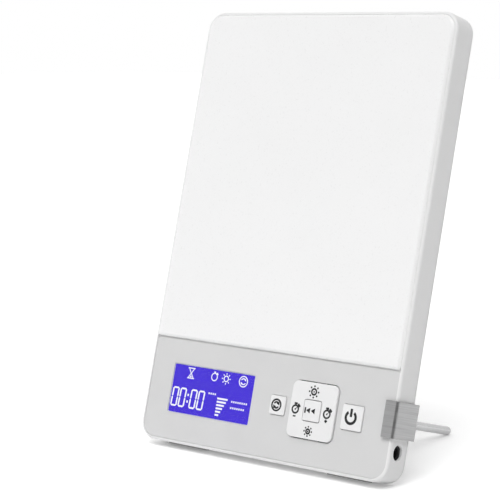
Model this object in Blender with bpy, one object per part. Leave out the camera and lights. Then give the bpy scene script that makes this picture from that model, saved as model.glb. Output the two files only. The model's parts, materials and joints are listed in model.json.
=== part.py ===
"""Light therapy lamp: an upright light panel with a control strip, propped by a clip-on folding leg.

Every piece is drawn in the panel's own frame: X to the right, Y from the front rim to the back, Z up from the
bottom edge, with X zero on the panel's middle line. The whole lamp then leans back until the leg's round tip
and the rubber feet stand on one level, and the middle of its box's base goes to the world's origin. Metres.
"""

import math

import bmesh
import bpy
from mathutils import Vector

# Gaps and overruns
GAP = 0.0003
CUT_OVERRUN = 0.002
LEAST_RADIUS = 0.0002

# Panel
PANEL_WIDTH = 0.168
PANEL_HEIGHT = 0.242
PANEL_CORNER = 0.010
WALL = 0.0016
RIM_ROUNDING = 0.0012

# Ledge inside the walls, on which the two front plates rest
LEDGE_THICKNESS = 0.0014
LIGHT_WINDOW_MARGIN = 0.010
LIGHT_WINDOW_CORNER = 0.003
CONTROL_WINDOW_SIDE = 0.0075
CONTROL_WINDOW_BOTTOM = 0.0080
CONTROL_WINDOW_DROP = 0.0044

# Diffuser plate
DIFFUSER_BOTTOM = 0.0576
DIFFUSER_THICKNESS = 0.0033
DIFFUSER_CHAMFER = 0.0014
DIFFUSER_CHAMFER_DEPTH = 0.0008
DIFFUSER_EDGE_ROUNDING = 0.0003
DIFFUSER_LOWER_CORNER = 0.0016

# Control fascia
FASCIA_RECESS = 0.0003
FASCIA_THICKNESS = 0.0020
FASCIA_GROOVE = 0.0012
FASCIA_UPPER_CORNER = 0.0010
CONTROL_LINE_RISE = 0.00075

# Display: its width is what its inset and the keys leave
DISPLAY_INSET = 0.0175
DISPLAY_KEY_SPACING = 0.0137
DISPLAY_HEIGHT = 0.0264
DISPLAY_LIP = 0.0009
DISPLAY_POCKET_DEPTH = 0.0011
DISPLAY_CORNER = 0.0006
DISPLAY_WINDOW_THICKNESS = 0.0008
DISPLAY_CELL_THICKNESS = 0.0020
BACKLIGHT_BORDER = 0.0012

# Keys
KEY_CLEARANCE = 0.0004
KEY_CORNER = 0.0009
KEY_EDGE = 0.0004
KEY_FLANGE = 0.0010
KEY_FLANGE_THICKNESS = 0.0008
KEY_PROUD = 0.0009
KEY_PLUNGER_RADIUS = 0.0020
KEY_PLUNGER_LENGTH = 0.0019
MODE_KEY_SIZE = 0.0100
MODE_KEY_SPACING = 0.0037
POWER_KEY_SIZE = 0.0130
POWER_KEY_INSET = 0.0197
POWER_KEY_SPACING = 0.0040
RESET_KEY_SIZE = 0.0108
RESET_KEY_PROUD = 0.0017
RESET_KEY_DEPTH = 0.0026
RESET_FLANGE_DROP = 0.0007
RESET_FLANGE = 0.0008
RESET_FLANGE_THICKNESS = 0.0006

# Four-way pad and the cross-shaped pivot under it: their sizes grow outwards from the middle key
PAD_RIM = 0.0011
PAD_CORNER = 0.0035
PAD_PROUD = 0.0013
PAD_THICKNESS = 0.0022
PAD_TAB_LENGTH = 0.0014
PAD_TAB_WIDTH = 0.0060
PAD_TAB_THICKNESS = 0.0008
PAD_TAB_DROP = 0.0013
ROCKER_DROP = 0.0023
ROCKER_WIDTH = 0.0020
ROCKER_THICKNESS = 0.0018
ROCKER_PIN_RADIUS = 0.0007
ROCKER_EAR_CLEARANCE = 0.0007
ROCKER_EAR_THICKNESS = 0.0013
ROCKER_EAR_HALF_WIDTH = 0.0019
ROCKER_EAR_RISE = 0.0014
PIVOT_BASE_THICKNESS = 0.0008
PIVOT_BASE_HALF_HEIGHT = 0.0050

# Circuit board: its edges are set from the control window's
BOARD_THICKNESS = 0.0012
BOARD_BACK_SPACE = 0.0021
BOARD_LEFT_OVERLAP = 0.0005
BOARD_RIGHT_OVERLAP = 0.0035
BOARD_TOP_OVERLAP = 0.0010
BOARD_BOTTOM_MARGIN = 0.0020
BOARD_CORNER = 0.0010
BOARD_BOSS_RADIUS = 0.0025
BOARD_BOSS_CLEARANCE = 0.0006
BOARD_SCREW_RADIUS = 0.0007
BOARD_SCREW_HEAD_RADIUS = 0.0017
BOARD_SCREW_HEAD_HEIGHT = 0.0012
BOARD_SCREW_LENGTH = 0.0070
BOARD_SCREW_RISE = 0.0025
BOARD_SCREW_JACK_SPACING = 0.0046

# Switches
SWITCH_SIZE = 0.0060
SWITCH_HEIGHT = 0.0035
SWITCH_WELL_RADIUS = 0.0020
SWITCH_WELL_DEPTH = 0.0020
SWITCH_STEM_RADIUS = 0.0016
SWITCH_STEM_RISE = 0.0015
SWITCH_STEM_SUNK = 0.0011

# Other parts on the board
CHIP_SIZE = 0.0070
CHIP_THICKNESS = 0.0012
CHIP_SPACING = 0.0032
CHIP_RISE = 0.0080
INDUCTOR_SIZE = 0.0080
INDUCTOR_CORE_RADIUS = 0.0036
INDUCTOR_BASE = 0.0012
INDUCTOR_HEIGHT = 0.0040
INDUCTOR_OFFSET = 0.0038
INDUCTOR_DROP = 0.0065
CAPACITOR_RADIUS = 0.00315
CAPACITOR_HEIGHT = 0.0066
CAPACITOR_NECK = 0.0003
CAPACITOR_NECK_HEIGHT = 0.0008
CAPACITOR_INSET = 0.0135
CAPACITOR_PITCH = 0.0085
BUZZER_RADIUS = 0.0045
BUZZER_HEIGHT = 0.0045
BUZZER_HOLE_RADIUS = 0.0010
BUZZER_HOLE_DEPTH = 0.0020
BUZZER_OFFSET = 0.0028
BUZZER_RISE = 0.0065

# Power inlet
JACK_Z = 0.0162
JACK_AXIS_HEIGHT = 0.0036
JACK_WALL_HOLE_RADIUS = 0.0039
JACK_BORE_RADIUS = 0.0031
JACK_HALF_HEIGHT = 0.0045
JACK_LENGTH = 0.0120
JACK_BACK_WALL = 0.0015
JACK_PIN_RADIUS = 0.0010
JACK_PIN_RECESS = 0.0047
JACK_NOTCH_CLEARANCE = 0.0003

# Light engine behind the diffuser
TRAY_THICKNESS = 0.0008
TRAY_SIDE_SPACE = 0.0060
TRAY_RISE = 0.0034
TRAY_BOSS_CLEARANCE = 0.0008
GUIDE_SIDE_SPACE = 0.0007
GUIDE_RISE = 0.0030
GUIDE_DROP = 0.0025
GUIDE_THICKNESS = 0.0030
REFLECTOR_THICKNESS = 0.0004
STRIP_THICKNESS = 0.0010
STRIP_END_MARGIN = 0.0050
CHIP_LED_COUNT = 18
CHIP_LED_LENGTH = 0.0040
CHIP_LED_WIDTH = 0.0022
CHIP_LED_THICKNESS = 0.0005
LEAD_RADIUS = 0.0006
LEAD_INSET = 0.0185
LEAD_DROP = 0.0050

# Rear cover
COVER_THICKNESS = 0.0015
COVER_ROUNDING = 0.0012
COVER_LIP_HEIGHT = 0.0018
COVER_LIP_THICKNESS = 0.0012
COVER_RIB_THICKNESS = 0.0012
COVER_RIB_ACROSS_COUNT = 3
COVER_RIB_UP_COUNT = 3
COVER_RIB_MARGIN = 0.0030

# Housing screws and their bosses
BOSS_RADIUS = 0.0025
BOSS_CLEARANCE = 0.0005
BOSS_INSET = 0.0047
BOSS_RISE = 0.0062
SCREW_RADIUS = 0.0010
SCREW_HEAD_RADIUS = 0.0022
SCREW_LENGTH = 0.0080
SCREW_HEAD_RECESS = 0.0002
SCREW_SLOT_CLEARANCE = 0.0004

# Rubber feet in the bottom wall
FOOT_INSET = 0.0290
FOOT_LENGTH = 0.0260
FOOT_WIDTH = 0.0060
FOOT_REAR_MARGIN = 0.0011
FOOT_PROUD = 0.0008
FOOT_POCKET_DEPTH = 0.0009
FOOT_CORNER = 0.0012

# Clip on the right edge
STRIP_METAL = 0.0012
CLIP_BOTTOM = 0.0231
CLIP_HEIGHT = 0.0187
CLIP_HOOK_LENGTH = 0.0078
CLIP_FRONT_CLEARANCE = 0.0005
CLIP_SIDE_CLEARANCE = 0.0003
CLIP_BACK_CLEARANCE = 0.0017
CLIP_BEND_RADIUS = 0.0006
CLIP_LEAF_MARGIN = 0.0050
CLIP_PAD_START = 0.0030
CLIP_PAD_CLEARANCE = 0.0020
CLIP_PAD_MARGIN = 0.0012

# Leg hinge on the clip's back leaf
LEG_DROP = 0.00155
PIVOT_INSET = 0.0495
BRACKET_THICKNESS = 0.0010
BRACKET_HALF_HEIGHT = 0.0070
BRACKET_NEAR = 0.0045
BRACKET_FAR = 0.0125
BRACKET_CORNER = 0.0012
EAR_HALF_WIDTH = 0.0039
EAR_THICKNESS = 0.0011
KNUCKLE_HALF = 0.0032
KNUCKLE_LENGTH = 0.0085
KNUCKLE_END_CHAMFER = 0.0006
PIVOT_PIN_RADIUS = 0.0015
PIVOT_HEAD_RADIUS = 0.0024
PIVOT_HEAD_HEIGHT = 0.0008
RIVET_INSET = 0.0085
RIVET_SPREAD = 0.0040
RIVET_RADIUS = 0.0012
RIVET_HEAD_RADIUS = 0.0020
RIVET_HEAD_HEIGHT = 0.0007

# Leg rod
ROD_RADIUS = 0.0025
ROD_REACH = 0.0995
ROD_SPIGOT_RADIUS = 0.0015
ROD_SPIGOT_LENGTH = 0.0043
ROD_SHOULDER_CHAMFER = 0.0004

# How finely curves are divided
CORNER_STEPS = 6
EDGE_STEPS = 3
ROUND_SIDES = 20
SMALL_SIDES = 12
SHARP_EDGE_ANGLE = math.radians(35)

# Shares of a size, and a chip row's own proportions
ROUNDING_MIDDLE_SHARE = 0.3
LEAD_BOW_SHARES = ((0.0, 0.0, 0.0), (0.2, 0.2, 0.3), (0.75, 0.85, 0.55), (1.0, 1.0, 0.7), (1.0, 1.0, 1.0))

# Depths, from the front rim back: keys, switches, board and rear cover stack up to the whole
HALF_WIDTH = PANEL_WIDTH / 2
FASCIA_BACK = FASCIA_RECESS + FASCIA_THICKNESS
LEDGE_FRONT = FASCIA_BACK + GAP
LEDGE_BACK = LEDGE_FRONT + LEDGE_THICKNESS
PLUNGER_END = FASCIA_BACK + GAP + KEY_FLANGE_THICKNESS + KEY_PLUNGER_LENGTH
STEM_TOP = PLUNGER_END + GAP
SWITCH_TOP = STEM_TOP + SWITCH_STEM_RISE
BOARD_PARTS_BACK = SWITCH_TOP + SWITCH_HEIGHT
BOARD_FRONT = BOARD_PARTS_BACK + GAP
BOARD_BACK = BOARD_FRONT + BOARD_THICKNESS
COVER_FRONT = BOARD_BACK + BOARD_BACK_SPACE
PANEL_DEPTH = COVER_FRONT + COVER_THICKNESS
WALL_END = COVER_FRONT - GAP
ROCKER_DEPTH = FASCIA_BACK + ROCKER_DROP
JACK_Y = BOARD_PARTS_BACK - JACK_AXIS_HEIGHT
GUIDE_FRONT = LEDGE_BACK + 2 * GAP
REFLECTOR_FRONT = GUIDE_FRONT + GUIDE_THICKNESS + GAP
TRAY_FLOOR = REFLECTOR_FRONT + REFLECTOR_THICKNESS + GAP
TRAY_BACK = TRAY_FLOOR + TRAY_THICKNESS

# Pad and pivot, outwards from the middle key
EAR_INNER = RESET_KEY_SIZE / 2 + RESET_FLANGE + ROCKER_EAR_CLEARANCE
EAR_OUTER = EAR_INNER + ROCKER_EAR_THICKNESS
ROCKER_HALF = EAR_INNER - 2 * GAP
ROCKER_BORE_HALF = ROCKER_HALF - ROCKER_WIDTH
PAD_REACH = EAR_OUTER + KEY_CLEARANCE + SWITCH_SIZE / 2
PAD_SIZE = 2 * (PAD_REACH + KEY_PLUNGER_RADIUS + PAD_RIM)

# Places across, from the right edge to the left
POWER_KEY_X = HALF_WIDTH - POWER_KEY_INSET - POWER_KEY_SIZE / 2
PAD_X = POWER_KEY_X - POWER_KEY_SIZE / 2 - POWER_KEY_SPACING - PAD_SIZE / 2
MODE_KEY_X = PAD_X - PAD_SIZE / 2 - MODE_KEY_SPACING - MODE_KEY_SIZE / 2
DISPLAY_RIGHT = MODE_KEY_X - MODE_KEY_SIZE / 2 - DISPLAY_KEY_SPACING
DISPLAY_LEFT = -HALF_WIDTH + DISPLAY_INSET
JACK_MOUTH = HALF_WIDTH - WALL - GAP
JACK_BACK = JACK_MOUTH - JACK_LENGTH
CHIP_X = MODE_KEY_X - SWITCH_SIZE / 2 - CHIP_SPACING - CHIP_SIZE / 2
BUZZER_X = MODE_KEY_X + BUZZER_OFFSET
INDUCTOR_X = POWER_KEY_X - INDUCTOR_OFFSET
CAPACITOR_X = HALF_WIDTH - CAPACITOR_INSET
TRAY_HALF_WIDTH = HALF_WIDTH - TRAY_SIDE_SPACE
STRIP_OUTER = TRAY_HALF_WIDTH - TRAY_THICKNESS - GAP
STRIP_INNER = STRIP_OUTER - STRIP_THICKNESS
GUIDE_HALF_WIDTH = STRIP_INNER - CHIP_LED_THICKNESS - GUIDE_SIDE_SPACE
FOOT_X = HALF_WIDTH - FOOT_INSET

# Places up
FASCIA_TOP = DIFFUSER_BOTTOM - FASCIA_GROOVE
CONTROL_WINDOW_TOP = FASCIA_TOP - CONTROL_WINDOW_DROP
CONTROL_LINE = (WALL + GAP + FASCIA_TOP) / 2 + CONTROL_LINE_RISE
BOARD_BOTTOM = CONTROL_WINDOW_BOTTOM + BOARD_BOTTOM_MARGIN
BOARD_TOP = CONTROL_WINDOW_TOP + BOARD_TOP_OVERLAP
CHIP_Z = BOARD_BOTTOM + CHIP_RISE
BUZZER_Z = BOARD_BOTTOM + BUZZER_RISE
INDUCTOR_Z = BOARD_TOP - INDUCTOR_DROP
TRAY_BOTTOM = DIFFUSER_BOTTOM + TRAY_RISE
TRAY_TOP = PANEL_HEIGHT - BOSS_RISE - BOSS_RADIUS - TRAY_BOSS_CLEARANCE
GUIDE_BOTTOM = TRAY_BOTTOM + GUIDE_RISE
GUIDE_TOP = TRAY_TOP - GUIDE_DROP

# Clip and leg
FOOT_FRONT = WALL_END - FOOT_REAR_MARGIN - FOOT_WIDTH
CLIP_MIDDLE = CLIP_BOTTOM + CLIP_HEIGHT / 2
CLIP_OUTER_X = HALF_WIDTH + CLIP_SIDE_CLEARANCE + STRIP_METAL
LEAF_BACK = PANEL_DEPTH + CLIP_BACK_CLEARANCE + STRIP_METAL
BRACKET_FRONT = LEAF_BACK + GAP
BRACKET_BACK = BRACKET_FRONT + BRACKET_THICKNESS
PIVOT_X = CLIP_OUTER_X - PIVOT_INSET
PIVOT_Y = BRACKET_BACK + GAP + KNUCKLE_HALF
ROD_Z = CLIP_MIDDLE - LEG_DROP


class Plate:
    """A rectangle with rounded corners in the panel's plane."""

    def __init__(self, left, right, bottom, top, lower_corner, upper_corner=None):
        self.left = left
        self.right = right
        self.bottom = bottom
        self.top = top
        self.lower_corner = lower_corner
        self.upper_corner = lower_corner if upper_corner is None else upper_corner

    def grown(self, by):
        return Plate(
            self.left - by,
            self.right + by,
            self.bottom - by,
            self.top + by,
            max(self.lower_corner + by, LEAST_RADIUS),
            max(self.upper_corner + by, LEAST_RADIUS),
        )

    def points(self):
        """The outline, counter-clockwise as seen from the front."""
        low, high = self.lower_corner, self.upper_corner
        corners = (
            (self.left + low, self.bottom + low, low, math.pi),
            (self.right - low, self.bottom + low, low, 1.5 * math.pi),
            (self.right - high, self.top - high, high, 0.0),
            (self.left + high, self.top - high, high, 0.5 * math.pi),
        )
        outline = []
        for x, z, radius, start in corners:
            outline += arc_points(x, z, radius, start, start + 0.5 * math.pi, CORNER_STEPS)
        return outline


def arc_points(x, y, radius, start, end, steps):
    """Points along an arc, both ends included."""
    angles = [start + (end - start) * i / steps for i in range(steps + 1)]
    return [(x + radius * math.cos(a), y + radius * math.sin(a)) for a in angles]


def centred_plate(x, z, width, height, corner):
    return Plate(x - width / 2, x + width / 2, z - height / 2, z + height / 2, corner)


# Mesh building

def along_axis(axis):
    """A function from two coordinates across an axis and a height along it to a point."""
    return {
        "X": lambda a, b, height: (height, a, b),
        "Y": lambda a, b, height: (a, height, b),
        "Z": lambda a, b, height: (a, b, height),
    }[axis]


def add_layers(mesh, layers, axis="Y"):
    """A closed body through layers of (height, outline), each outline with as many points."""
    place = along_axis(axis)
    rings = [[mesh.verts.new(place(a, b, height)) for a, b in outline] for height, outline in layers]
    for low, high in zip(rings, rings[1:]):
        for i, corner in enumerate(low):
            after = (i + 1) % len(low)
            mesh.faces.new((low[after], corner, high[i], high[after]))
    mesh.faces.new(rings[0])
    mesh.faces.new(tuple(reversed(rings[-1])))


def add_prism(mesh, outline, low, high, axis="Y"):
    add_layers(mesh, [(low, outline), (high, outline)], axis)


def add_box(mesh, x, y, z):
    """A box between the two ends of each range."""
    add_prism(mesh, [(x[0], z[0]), (x[1], z[0]), (x[1], z[1]), (x[0], z[1])], y[0], y[1])


def add_frame(mesh, outer, inner, low, high):
    """A flat ring between two outlines with as many points."""
    place = along_axis("Y")
    loops = [
        [mesh.verts.new(place(a, b, height)) for a, b in outline]
        for outline, height in ((outer, low), (inner, low), (inner, high), (outer, high))
    ]
    for here, there in zip(loops, loops[1:] + loops[:1]):
        for i, corner in enumerate(here):
            after = (i + 1) % len(here)
            mesh.faces.new((corner, here[after], there[after], there[i]))


def circle(x, y, radius, sides):
    return [
        (x + radius * math.cos(2 * math.pi * i / sides), y + radius * math.sin(2 * math.pi * i / sides))
        for i in range(sides)
    ]


def add_turned(mesh, centre, profile, axis="Y", sides=ROUND_SIDES):
    """A turned body about an axis through centre: the profile's points are (height, radius)."""
    layers = [(height, circle(centre[0], centre[1], radius, sides)) for height, radius in profile]
    add_layers(mesh, layers, axis)


def add_rod(mesh, centre, radius, low, high, axis="Y", sides=ROUND_SIDES):
    add_turned(mesh, centre, [(low, radius), (high, radius)], axis, sides)


def rounded_layers(plate, edge, face, radius, depth=None):
    """Layers of a plate whose rim rounds off from the height edge to the height face."""
    depth = radius if depth is None else depth
    sign = 1 if face > edge else -1
    layers = []
    for i in range(EDGE_STEPS + 1):
        angle = 0.5 * math.pi * i / EDGE_STEPS
        inset = radius * (1 - math.cos(angle))
        layers.append((face - sign * depth * (1 - math.sin(angle)), plate.grown(-inset).points()))
    return layers


# Materials, and objects in their groups

def make_material(name, colour, roughness, metallic=0.0, alpha=1.0):
    material = bpy.data.materials.new(name)
    material.use_nodes = True
    shader = material.node_tree.nodes["Principled BSDF"]
    shader.inputs["Base Color"].default_value = (*colour, 1.0)
    shader.inputs["Roughness"].default_value = roughness
    shader.inputs["Metallic"].default_value = metallic
    shader.inputs["Alpha"].default_value = alpha
    return material


def make_materials():
    return {
        "white_plastic": make_material("white_plastic", (0.86, 0.86, 0.86), 0.42),
        "grey_fascia": make_material("grey_fascia", (0.70, 0.70, 0.70), 0.45),
        "opal_plate": make_material("opal_plate", (0.93, 0.93, 0.93), 0.35),
        "key_plastic": make_material("key_plastic", (0.84, 0.84, 0.84), 0.38),
        "clear_plastic": make_material("clear_plastic", (0.90, 0.92, 0.95), 0.08, alpha=0.25),
        "display_blue": make_material("display_blue", (0.08, 0.04, 0.75), 0.20),
        "milky_plastic": make_material("milky_plastic", (0.80, 0.80, 0.78), 0.50),
        "board_green": make_material("board_green", (0.03, 0.22, 0.09), 0.45),
        "black_plastic": make_material("black_plastic", (0.02, 0.02, 0.02), 0.45),
        "tinned_metal": make_material("tinned_metal", (0.72, 0.72, 0.70), 0.30, 1.0),
        "aluminium_sheet": make_material("aluminium_sheet", (0.75, 0.76, 0.77), 0.40, 1.0),
        "led_strip": make_material("led_strip", (0.85, 0.82, 0.60), 0.50),
        "brushed_steel": make_material("brushed_steel", (0.45, 0.45, 0.46), 0.38, 1.0),
        "polished_steel": make_material("polished_steel", (0.62, 0.62, 0.63), 0.18, 1.0),
        "zinc_steel": make_material("zinc_steel", (0.60, 0.61, 0.62), 0.30, 1.0),
        "grey_rubber": make_material("grey_rubber", (0.45, 0.45, 0.45), 0.80),
    }


def make_group(name, point, parent=None, parent_point=(0.0, 0.0, 0.0)):
    """An empty on a joint's axis, at a point of the panel's frame, that carries the pieces of one body."""
    empty = bpy.data.objects.new(name, None)
    bpy.context.collection.objects.link(empty)
    empty.parent = parent
    empty.location = Vector(point) - Vector(parent_point)
    return {"empty": empty, "point": Vector(point)}


def make_object(name, mesh, group, material=None, smooth=False):
    """The bmesh as an object of its group, with its faces pointing outwards."""
    bmesh.ops.recalc_face_normals(mesh, faces=mesh.faces)
    bmesh.ops.translate(mesh, verts=mesh.verts, vec=-group["point"])
    data = bpy.data.meshes.new(name)
    mesh.to_mesh(data)
    mesh.free()
    if smooth:
        data.shade_smooth()
        data.set_sharp_from_angle(angle=SHARP_EDGE_ANGLE)
    piece = bpy.data.objects.new(name, data)
    bpy.context.collection.objects.link(piece)
    piece.parent = group["empty"]
    if material is not None:
        data.materials.append(material)
    return piece


def apply_shape(piece, operation, name, build, group):
    """Cuts a helper shape from a piece, or joins it on: build fills the helper's mesh."""
    mesh = bmesh.new()
    build(mesh)
    helper = make_object(name, mesh, group)
    helper.hide_render = True
    helper.display_type = "WIRE"
    modifier = piece.modifiers.new(name, "BOOLEAN")
    modifier.operation = operation
    modifier.object = helper
    modifier.solver = "EXACT"


def cut(piece, name, group, build):
    apply_shape(piece, "DIFFERENCE", name, build, group)


def join(piece, name, group, build):
    apply_shape(piece, "UNION", name, build, group)


def build_piece(name, group, material, build, smooth=False):
    mesh = bmesh.new()
    build(mesh)
    return make_object(name, mesh, group, material, smooth)


# Outlines shared by pieces that fit each other

def panel_plate():
    return Plate(-HALF_WIDTH, HALF_WIDTH, 0.0, PANEL_HEIGHT, PANEL_CORNER)


def light_window():
    return Plate(
        -HALF_WIDTH + LIGHT_WINDOW_MARGIN,
        HALF_WIDTH - LIGHT_WINDOW_MARGIN,
        DIFFUSER_BOTTOM + LIGHT_WINDOW_MARGIN - WALL,
        PANEL_HEIGHT - LIGHT_WINDOW_MARGIN,
        LIGHT_WINDOW_CORNER,
    )


def control_window():
    return Plate(
        -HALF_WIDTH + CONTROL_WINDOW_SIDE,
        HALF_WIDTH - CONTROL_WINDOW_SIDE,
        CONTROL_WINDOW_BOTTOM,
        CONTROL_WINDOW_TOP,
        LIGHT_WINDOW_CORNER,
    )


def diffuser_plate():
    inner = panel_plate().grown(-WALL - GAP)
    lower = DIFFUSER_LOWER_CORNER
    return Plate(inner.left, inner.right, DIFFUSER_BOTTOM, inner.top, lower, inner.upper_corner)


def fascia_plate():
    inner = panel_plate().grown(-WALL - GAP)
    return Plate(inner.left, inner.right, inner.bottom, FASCIA_TOP, inner.lower_corner, FASCIA_UPPER_CORNER)


def display_opening():
    half = DISPLAY_HEIGHT / 2
    return Plate(DISPLAY_LEFT, DISPLAY_RIGHT, CONTROL_LINE - half, CONTROL_LINE + half, DISPLAY_CORNER)


def key_plate(x, size, corner=KEY_CORNER):
    return centred_plate(x, CONTROL_LINE, size, size, corner)


def housing_screw_places():
    """Centres of the housing's screws, one in each corner."""
    x = HALF_WIDTH - BOSS_INSET
    return [(side * x, z) for z in (BOSS_RISE, PANEL_HEIGHT - BOSS_RISE) for side in (-1, 1)]


def board_screw_places():
    """Three near the window's corners, and one beside the power inlet."""
    reach = BOARD_BOSS_RADIUS + BOARD_BOSS_CLEARANCE
    outer = control_window().right - reach
    upper = control_window().top - reach
    lower = BOARD_BOTTOM + BOARD_SCREW_RISE
    return (-outer, lower), (-outer, upper), (outer, upper), (JACK_BACK - BOARD_SCREW_JACK_SPACING, lower)


def pad_places():
    """The four places round the pad's middle where its feet press."""
    return {
        "right": (PAD_X + PAD_REACH, CONTROL_LINE),
        "upper": (PAD_X, CONTROL_LINE + PAD_REACH),
        "left": (PAD_X - PAD_REACH, CONTROL_LINE),
        "lower": (PAD_X, CONTROL_LINE - PAD_REACH),
    }


# Housing

def build_front_housing(group, material):
    """The white moulding: rounded rim, walls, inner ledge with two windows, screw bosses, foot pockets."""
    outer = panel_plate()
    front = list(reversed(rounded_layers(outer, RIM_ROUNDING, 0.0, RIM_ROUNDING)))
    housing = build_piece(
        "front_housing",
        group,
        material,
        lambda mesh: add_layers(mesh, front + [(WALL_END, outer.points())]),
        smooth=True,
    )
    inner = outer.grown(-WALL)
    cut(housing, "front_recess_cut", group, lambda mesh: add_prism(
        mesh, inner.points(), -CUT_OVERRUN, LEDGE_FRONT))
    cut(housing, "cavity_cut", group, lambda mesh: add_prism(
        mesh, inner.points(), LEDGE_BACK, PANEL_DEPTH))
    cut(housing, "light_window_cut", group, lambda mesh: add_prism(
        mesh, light_window().points(), 0.0, PANEL_DEPTH))
    cut(housing, "control_window_cut", group, lambda mesh: add_prism(
        mesh, control_window().points(), 0.0, PANEL_DEPTH))
    cut(housing, "jack_notch_cut", group, lambda mesh: add_box(
        mesh,
        (control_window().right - CUT_OVERRUN, HALF_WIDTH - WALL),
        (0.0, PANEL_DEPTH),
        (JACK_Z - JACK_HALF_HEIGHT - JACK_NOTCH_CLEARANCE, JACK_Z + JACK_HALF_HEIGHT + JACK_NOTCH_CLEARANCE),
    ))
    join(housing, "screw_bosses", group, build_housing_bosses)
    cut(housing, "pilot_holes_cut", group, build_pilot_holes)
    cut(housing, "jack_hole_cut", group, lambda mesh: add_rod(
        mesh, (JACK_Y, JACK_Z), JACK_WALL_HOLE_RADIUS,
        HALF_WIDTH - WALL - CUT_OVERRUN, HALF_WIDTH + CUT_OVERRUN, "X"))
    cut(housing, "foot_pockets_cut", group, build_foot_pockets)
    return housing


def build_housing_bosses(mesh):
    for place in housing_screw_places():
        add_rod(mesh, place, BOSS_RADIUS, LEDGE_BACK - LEDGE_THICKNESS / 2, WALL_END, sides=SMALL_SIDES)


def build_pilot_holes(mesh):
    screw_end = PANEL_DEPTH - SCREW_LENGTH
    for place in housing_screw_places():
        add_rod(mesh, place, SCREW_RADIUS + GAP, screw_end - GAP, PANEL_DEPTH, sides=SMALL_SIDES)


def foot_outline(side, clearance):
    """A foot seen from below: x across, y back."""
    x = side * FOOT_X
    middle = FOOT_FRONT + FOOT_WIDTH / 2
    length = FOOT_LENGTH + 2 * clearance
    width = FOOT_WIDTH + 2 * clearance
    return centred_plate(x, middle, length, width, FOOT_CORNER + clearance).points()


def build_foot_pockets(mesh):
    for side in (-1, 1):
        add_prism(mesh, foot_outline(side, GAP), -CUT_OVERRUN, FOOT_POCKET_DEPTH, "Z")


def build_feet(group, material):
    for name, side in (("foot_left", -1), ("foot_right", 1)):
        build_piece(name, group, material, lambda mesh, side=side: add_prism(
            mesh, foot_outline(side, 0.0), -FOOT_PROUD, FOOT_POCKET_DEPTH - GAP, "Z"))


def build_rear_cover(group, material):
    """The flat back: rounded rear edge, locating lip, stiffening ribs, countersunk screw holes."""
    outer = panel_plate()
    back = rounded_layers(outer, COVER_FRONT, PANEL_DEPTH, COVER_ROUNDING)
    cover = build_piece(
        "rear_cover",
        group,
        material,
        lambda mesh: add_layers(mesh, [(COVER_FRONT, outer.points())] + back),
        smooth=True,
    )
    lip = outer.grown(-WALL - GAP)
    join(cover, "locating_lip", group, lambda mesh: add_frame(
        mesh,
        lip.points(),
        lip.grown(-COVER_LIP_THICKNESS).points(),
        COVER_FRONT - COVER_LIP_HEIGHT,
        COVER_FRONT + COVER_THICKNESS / 2,
    ))
    join(cover, "ribs_across", group, build_ribs_across)
    join(cover, "ribs_up", group, build_ribs_up)
    cut(cover, "boss_clearance_cut", group, build_boss_clearances)
    cut(cover, "countersinks_cut", group, build_countersinks)
    return cover


def rib_depths():
    return TRAY_BACK + GAP, COVER_FRONT + COVER_THICKNESS / 2


def build_ribs_across(mesh):
    bottom = TRAY_BOTTOM + COVER_RIB_MARGIN
    top = TRAY_TOP - COVER_RIB_MARGIN
    reach = TRAY_HALF_WIDTH - COVER_RIB_MARGIN
    for i in range(COVER_RIB_ACROSS_COUNT):
        z = bottom + (top - bottom) * (i + 0.5) / COVER_RIB_ACROSS_COUNT
        add_box(mesh, (-reach, reach), rib_depths(), (z, z + COVER_RIB_THICKNESS))


def build_ribs_up(mesh):
    reach = TRAY_HALF_WIDTH - COVER_RIB_MARGIN
    for i in range(COVER_RIB_UP_COUNT):
        x = -reach + 2 * reach * (i + 0.5) / COVER_RIB_UP_COUNT
        add_box(
            mesh,
            (x - COVER_RIB_THICKNESS / 2, x + COVER_RIB_THICKNESS / 2),
            rib_depths(),
            (TRAY_BOTTOM + COVER_RIB_MARGIN, TRAY_TOP - COVER_RIB_MARGIN),
        )


def build_boss_clearances(mesh):
    for place in housing_screw_places():
        add_rod(
            mesh, place, BOSS_RADIUS + BOSS_CLEARANCE,
            COVER_FRONT - COVER_LIP_HEIGHT - CUT_OVERRUN, COVER_FRONT, sides=SMALL_SIDES)


def screw_head_depth():
    """How deep a 45-degree head is, from its flat top to the shank."""
    return SCREW_HEAD_RADIUS - SCREW_RADIUS


def build_countersinks(mesh):
    """A 45-degree sink for each head, wider than the head by the slot clearance."""
    head_top = PANEL_DEPTH - SCREW_HEAD_RECESS
    neck = head_top - screw_head_depth()
    neck_radius = SCREW_RADIUS + SCREW_SLOT_CLEARANCE
    mouth = PANEL_DEPTH + CUT_OVERRUN
    profile = [
        (COVER_FRONT - COVER_LIP_HEIGHT - CUT_OVERRUN, neck_radius),
        (neck, neck_radius),
        (mouth, neck_radius + mouth - neck),
    ]
    for place in housing_screw_places():
        add_turned(mesh, place, profile, sides=SMALL_SIDES)


def build_housing_screws(group, material):
    head_top = PANEL_DEPTH - SCREW_HEAD_RECESS
    profile = [
        (PANEL_DEPTH - SCREW_LENGTH, SCREW_RADIUS),
        (head_top - screw_head_depth(), SCREW_RADIUS),
        (head_top, SCREW_HEAD_RADIUS),
    ]
    for number, place in enumerate(housing_screw_places(), 1):
        build_piece("housing_screw_%d" % number, group, material, lambda mesh, place=place: add_turned(
            mesh, place, profile, sides=SMALL_SIDES), smooth=True)


# Front plates

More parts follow.
